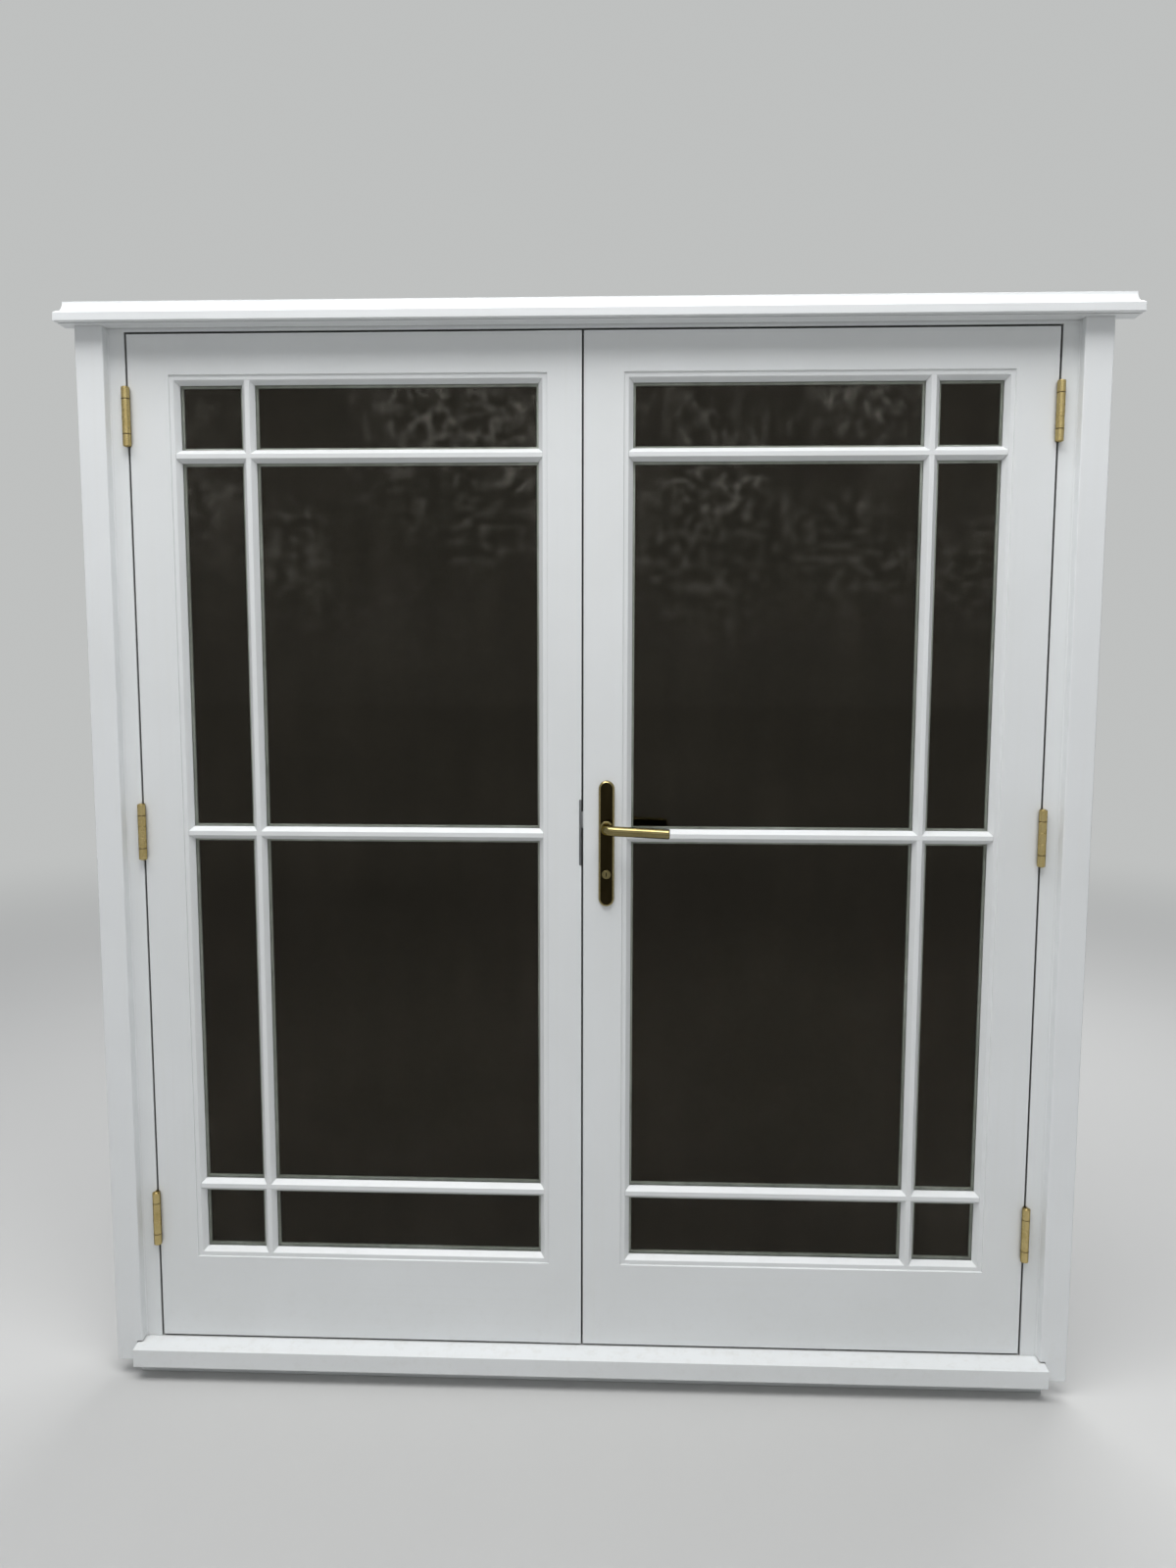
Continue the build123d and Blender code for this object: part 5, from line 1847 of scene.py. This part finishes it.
@dataclass
class Seals(SubAssembly):
    """Rubber seals of the stops and of the meeting stiles."""

    stem: float = 0.9 * MM
    bulb_steps: int = 22
    fins: int = 3
    fin_root: float = 0.55

    def section(self, width: float, depth: float) -> list[Point]:
        """Bulb on a barbed foot.

        Args:
            width: Size across the groove, along X.
            depth: Size from the bulb's face to the foot, along Y.

        Returns:
            The outline's points.
        """
        middle = width / 2
        bulb = min(middle, depth * 0.44)
        left, right = middle - self.stem, middle + self.stem
        outline = [(left, depth), (left, bulb * 1.9)]
        outline += round_arc((middle, bulb), bulb, 118, 422, self.bulb_steps)
        return outline + [(right, bulb * 1.9), (middle + width * 0.30, depth - 0.6 * MM),
                          (right, depth)]

    def bulbs(self) -> None:
        """Run the bulb along every groove of the frame's stops."""
        boxes = loose_parts(self.shop.nodes["frame_weather_seals"])
        low, high = boxes[0]
        width = min(high.x - low.x, high.z - low.z)
        part = prism("seal_length", self.section(width, high.y - low.y), 1.0, STRIP_CREASE)
        places = []
        for low, high in boxes:
            size = high - low
            if size.z > size.x:
                places.append(Place(low, UP, ACROSS, Vector((1.0, 1.0, size.z))))
            else:
                start = Vector((low.x, low.y, high.z))
                places.append(Place(start, ACROSS, -UP, Vector((1.0, 1.0, size.x))))
        self.shop.set_out("frame_weather_seals_run", part, places, "seal_rubber", Body.FRAME,
                          Slot.RUBBER, "frame_weather_seals")
        bpy.data.objects.remove(part)

    def finned(self) -> None:
        """Run the finned strip in the rebate where the leaves meet."""
        low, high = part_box("meeting_seal")
        width, depth = high.x - low.x, high.y - low.y
        fin, root = width / 7, depth * self.fin_root
        outline = [(0.0, depth), (0.0, root)]
        for i in range(self.fins):
            x = width * (i + 0.5) / self.fins
            outline += [(x - fin, root), (x - fin * 0.4, 0.0), (x + fin * 0.4, 0.0),
                        (x + fin, root)]
        outline += [(width, root), (width, depth)]
        part = prism("fin_length", outline, 1.0, STRIP_CREASE)
        places = [Place(Vector(low), UP, ACROSS, Vector((1.0, 1.0, high.z - low.z)))]
        self.shop.set_out("meeting_seal_finned", part, places, "seal_rubber", Body.LEFT_DOOR,
                          Slot.RUBBER, "meeting_seal")
        bpy.data.objects.remove(part)

    def build(self) -> None:
        """Build the seals of the stops and of the meeting stiles."""
        self.bulbs()
        self.finned()


@dataclass
class Filler(SubAssembly):
    """Painted filler in the corners between the trims and the jambs."""

    trim_inner: float = 899.5 * MM
    mould_bottom: float = 2067.5 * MM
    sill_top: float = 69.5 * MM
    size: float = 2.2 * MM
    hollow: float = 0.86
    crease: float = 60.0

    def build(self) -> None:
        """Run the fillets of filler."""
        s = self.size
        outline = [(0.0, 0.0), (s, 0.0)]
        outline += [(s - s * math.sin(a) * self.hollow, s - s * math.cos(a) * self.hollow)
                    for a in radians(15, 35, 55, 75)]
        outline += [(0.0, s)]
        part = prism("filler_length", outline, 1.0, self.crease)
        stretch = Vector((1.0, 1.0, self.mould_bottom - self.sill_top))
        places = [Place(Vector((x, 0.0, self.sill_top)), UP, side, stretch)
                  for x, side in ((self.trim_inner, -ACROSS), (-self.trim_inner, -INWARD))]
        self.shop.set_out("trim_filler", part, places, "trim_paint_upright", Body.FRAME,
                          Slot.TRIM)
        bpy.data.objects.remove(part)


@dataclass
class PhotoCamera:
    """Camera at the photograph's viewing angle."""

    place: Vector = Vector((0.0892, -2.248, 1.4537))
    yaw: float = 0.03794
    pitch: float = -0.10593
    roll: float = 0.00164
    focal_pixels: float = 1202.0
    image_height: float = 1600.0
    sensor: float = 36.0
    nearest: float = 0.05
    farthest: float = 200.0

    def build(self) -> None:
        """Make the camera the scene's own."""
        data = bpy.data.cameras.new("photo_camera")
        data.sensor_fit = "VERTICAL"
        data.sensor_height = self.sensor
        data.sensor_width = self.sensor
        data.lens = self.focal_pixels / self.image_height * self.sensor
        data.clip_start = self.nearest
        data.clip_end = self.farthest
        camera = bpy.data.objects.new("photo_camera", data)
        bpy.context.scene.collection.objects.link(camera)
        turn = Matrix.Rotation(self.yaw, 3, "Z") @ Matrix.Rotation(self.pitch, 3, "X")
        right, ahead, up = (turn @ axis for axis in (ACROSS, INWARD, UP))
        c, s = math.cos(self.roll), math.sin(self.roll)
        right, up = c * right + s * up, c * up - s * right
        matrix = Matrix((right, up, -ahead)).transposed().to_4x4()
        matrix.translation = self.place
        camera.matrix_world = matrix
        bpy.context.scene.camera = camera


@dataclass(frozen=True)
class Lamp:
    """A rectangular soft lamp that is aimed at a point."""

    name: str
    place: Vector
    aim: Vector
    size: tuple[float, float]
    power: float

    def build(self) -> bpy.types.Light:
        """Hang the lamp, out of the camera's sight.

        Returns:
            The light's data.
        """
        data = bpy.data.lights.new(self.name, "AREA")
        data.shape = "RECTANGLE"
        data.size, data.size_y = self.size
        data.energy = self.power
        lamp = bpy.data.objects.new(self.name, data)
        lamp.visible_camera = False
        bpy.context.scene.collection.objects.link(lamp)
        lamp.location = self.place
        lamp.rotation_euler = (self.aim - self.place).to_track_quat("-Z", "Y").to_euler()
        return data


@dataclass
class Studio:
    """Pale floor, pale surroundings and soft lamps."""

    floor_colour: Colour = (0.56, 0.56, 0.55)
    floor_clouds: float = 0.97
    floor_roughness: float = 0.85
    floor_size: float = 90.0
    far_colour: Colour = (0.52, 0.53, 0.525)
    fade_start: float = 2.6
    fade_end: float = 7.5
    sky_strength: float = 0.46
    low_sky: Colour = (0.25, 0.25, 0.25)
    high_sky: Colour = (0.80, 0.83, 0.88)
    high_sky_from: float = 0.75
    overhead: Lamp = Lamp("overhead_key", Vector((-0.4, -1.45, 4.7)), Vector((0.0, -0.25, 1.0)),
                          (4.2, 2.2), 172.0)
    fill: Lamp = Lamp("front_fill", Vector((0.1, -4.9, 2.6)), Vector((0.0, 0.0, 1.9)),
                      (6.6, 2.9), 50.0)
    room: Lamp = Lamp("room_side", Vector((1.2, 3.2, 4.2)), Vector((0.0, 0.0, 1.0)),
                      (4.4, 2.6), 130.0)
    panel_shape: tuple[float, float, float] = (2.3, 1.0, 1.0)
    leaves: tuple[float, float, float] = (38.0, 0.47, 0.70)
    boughs: tuple[float, float, float] = (2.6, 0.42, 0.62)
    clear_from: float = 0.55
    brightest: float = 4.6
    dimmest: float = 0.12

    def floor(self) -> None:
        """A plain pale floor that turns into the far colour away from the doors."""
        half = self.floor_size / 2
        mesh = bpy.data.meshes.new("studio_floor")
        mesh.from_pydata([(-half, -half, 0), (half, -half, 0), (half, half, 0), (-half, half, 0)],
                         [], [(0, 1, 2, 3)])
        sheet = ShaderSheet("studio_floor")
        tone = sheet.noise(sheet.object_place, 1.4, 3.0, 0.5)
        darker = toned(self.floor_colour, (self.floor_clouds,) * 3)
        sheet.put(Base_Color=sheet.mixed(tone, self.floor_colour, darker),
                  Roughness=self.floor_roughness)
        reach = sheet.add("ShaderNodeVectorMath", {0: sheet.object_place}, operation="LENGTH")
        away = sheet.ranged(reach.outputs["Value"], self.fade_start, self.fade_end,
                            kind="SMOOTHSTEP")
        far = sheet.add("ShaderNodeEmission", {"Color": self.far_colour})
        share = sheet.maths("MULTIPLY", away, sheet.seen())
        sheet.feed(sheet.output.inputs["Surface"], sheet.shown_as(sheet.shader, far, share))
        mesh.materials.append(sheet.material)
        shown("studio_floor", mesh)

    def world(self) -> None:
        """Pale surroundings for what is seen, and a softer level for what lights the doors."""
        world = bpy.data.worlds.new("studio")
        bpy.context.scene.world = world
        world.use_nodes = True
        sheet = NodeSheet(world.node_tree)
        sheet.tree.nodes.clear()
        way = sheet.add("ShaderNodeTexCoord").outputs["Generated"]
        ramp = sheet.add("ShaderNodeValToRGB", {0: sheet.axis_of(way, "Z")})
        for stop, position, colour in zip(ramp.color_ramp.elements, (0.0, self.high_sky_from),
                                          (self.low_sky, self.high_sky)):
            stop.position = position
            stop.color = (*colour, 1.0)
        soft = sheet.add("ShaderNodeBackground", {0: ramp.outputs[0], 1: self.sky_strength})
        pale = sheet.add("ShaderNodeBackground", {0: self.far_colour, 1: 1.0})
        sheet.add("ShaderNodeOutputWorld", {"Surface": sheet.shown_as(soft, pale, sheet.seen())})

    def dapple(self, data: bpy.types.Light) -> None:
        """Vary a lamp's panel like daylight through leaves, for the glass to mirror.

        Args:
            data: The lamp's light.
        """
        data.use_nodes = True
        sheet = NodeSheet(data.node_tree)
        panel = sheet.add("ShaderNodeNewGeometry").outputs["Parametric"]
        wide = sheet.add("ShaderNodeMapping", {"Vector": panel, "Scale": self.panel_shape})
        strength = sheet.ranged(sheet.axis_of(panel, "Y"), 0.0, self.clear_from,
                                kind="SMOOTHSTEP")
        for scale, low, high in (self.leaves, self.boughs):
            shade = sheet.ranged(sheet.noise(wide.outputs[0], scale, 5.0, 0.62), low, high)
            strength = sheet.maths("MULTIPLY", shade, strength)
        level = sheet.maths("MULTIPLY_ADD", strength, self.brightest, self.dimmest)
        emission = next(node for node in sheet.tree.nodes if node.type == "EMISSION")
        sheet.feed(emission.inputs["Strength"], level)

    def build(self) -> None:
        """Set up the studio."""
        self.floor()
        self.world()
        self.overhead.build()
        self.dapple(self.fill.build())
        self.room.build()
        bpy.context.scene.view_settings.view_transform = "Standard"


def leaf_boards(side: str) -> list[Board]:
    """Timbers of one leaf.

    Args:
        side: "left" or "right".

    Returns:
        Its stiles, rails and bars.
    """
    listed = (("hinge_stile", Grain.UPRIGHT, 1.2), ("meeting_stile", Grain.UPRIGHT, 1.2),
              ("vertical_bars", Grain.UPRIGHT, 0.8), ("bottom_rail", Grain.LEVEL, 1.2),
              ("top_rail", Grain.LEVEL, 1.2), ("lower_bar", Grain.LEVEL, 0.8),
              ("middle_bar", Grain.LEVEL, 0.8), ("upper_bar", Grain.LEVEL, 0.8))
    return [Board(f"{side}_{name}", grain, ease * MM) for name, grain, ease in listed]


def joinery(shop: Workshop) -> list[Joinery]:
    """The painted sub-assemblies of the frame and both leaves.

    Args:
        shop: The workshop.

    Returns:
        Linings, trims, right leaf and left leaf.
    """
    linings = [Board("left_jamb", Grain.UPRIGHT, 1.2 * MM),
               Board("right_jamb", Grain.UPRIGHT, 1.2 * MM),
               Board("frame_head", Grain.LEVEL, 1.2 * MM),
               Board("sill", Grain.LEVEL, 1.6 * MM)]
    trims = [Board("left_cover_trim", Grain.UPRIGHT, 1.3 * MM),
             Board("right_cover_trim", Grain.UPRIGHT, 1.3 * MM),
             Board("head_drip_mould", Grain.LEVEL, 1.0 * MM)]
    return [Joinery(shop, Body.FRAME, Slot.TIMBER, "leaf_paint", linings),
            Joinery(shop, Body.FRAME, Slot.TRIM, "trim_paint", trims),
            Joinery(shop, Body.RIGHT_DOOR, Slot.TIMBER, "leaf_paint", leaf_boards("right")),
            Joinery(shop, Body.LEFT_DOOR, Slot.TIMBER, "leaf_paint", leaf_boards("left"))]


def sub_assemblies(shop: Workshop) -> list[SubAssembly]:
    """Everything that is built, in its order.

    Args:
        shop: The workshop.

    Returns:
        The sub-assemblies.
    """
    parts: list[SubAssembly] = [*joinery(shop)]
    for side, body, seed in (("right", Body.RIGHT_DOOR, 5), ("left", Body.LEFT_DOOR, 11)):
        parts += [SealedUnits(shop, side, body, seed), GlazingBeads(shop, side, body, seed)]
    parts += [kind(shop) for kind in (Hinges, LeverFurniture, MetalWork, KeepLip, EdgeScrews,
                                      Seals, Filler)]
    return parts


def main() -> None:
    """Build every sub-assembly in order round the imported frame."""
    logging.basicConfig(level=logging.INFO, format="%(message)s")
    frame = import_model()
    PhotoCamera().build()
    Studio().build()
    shop = Workshop(frame)
    for part in sub_assemblies(shop):
        part.build()
    LOG.info("%d pieces built", shop.count)


if __name__ == "__main__":
    main()
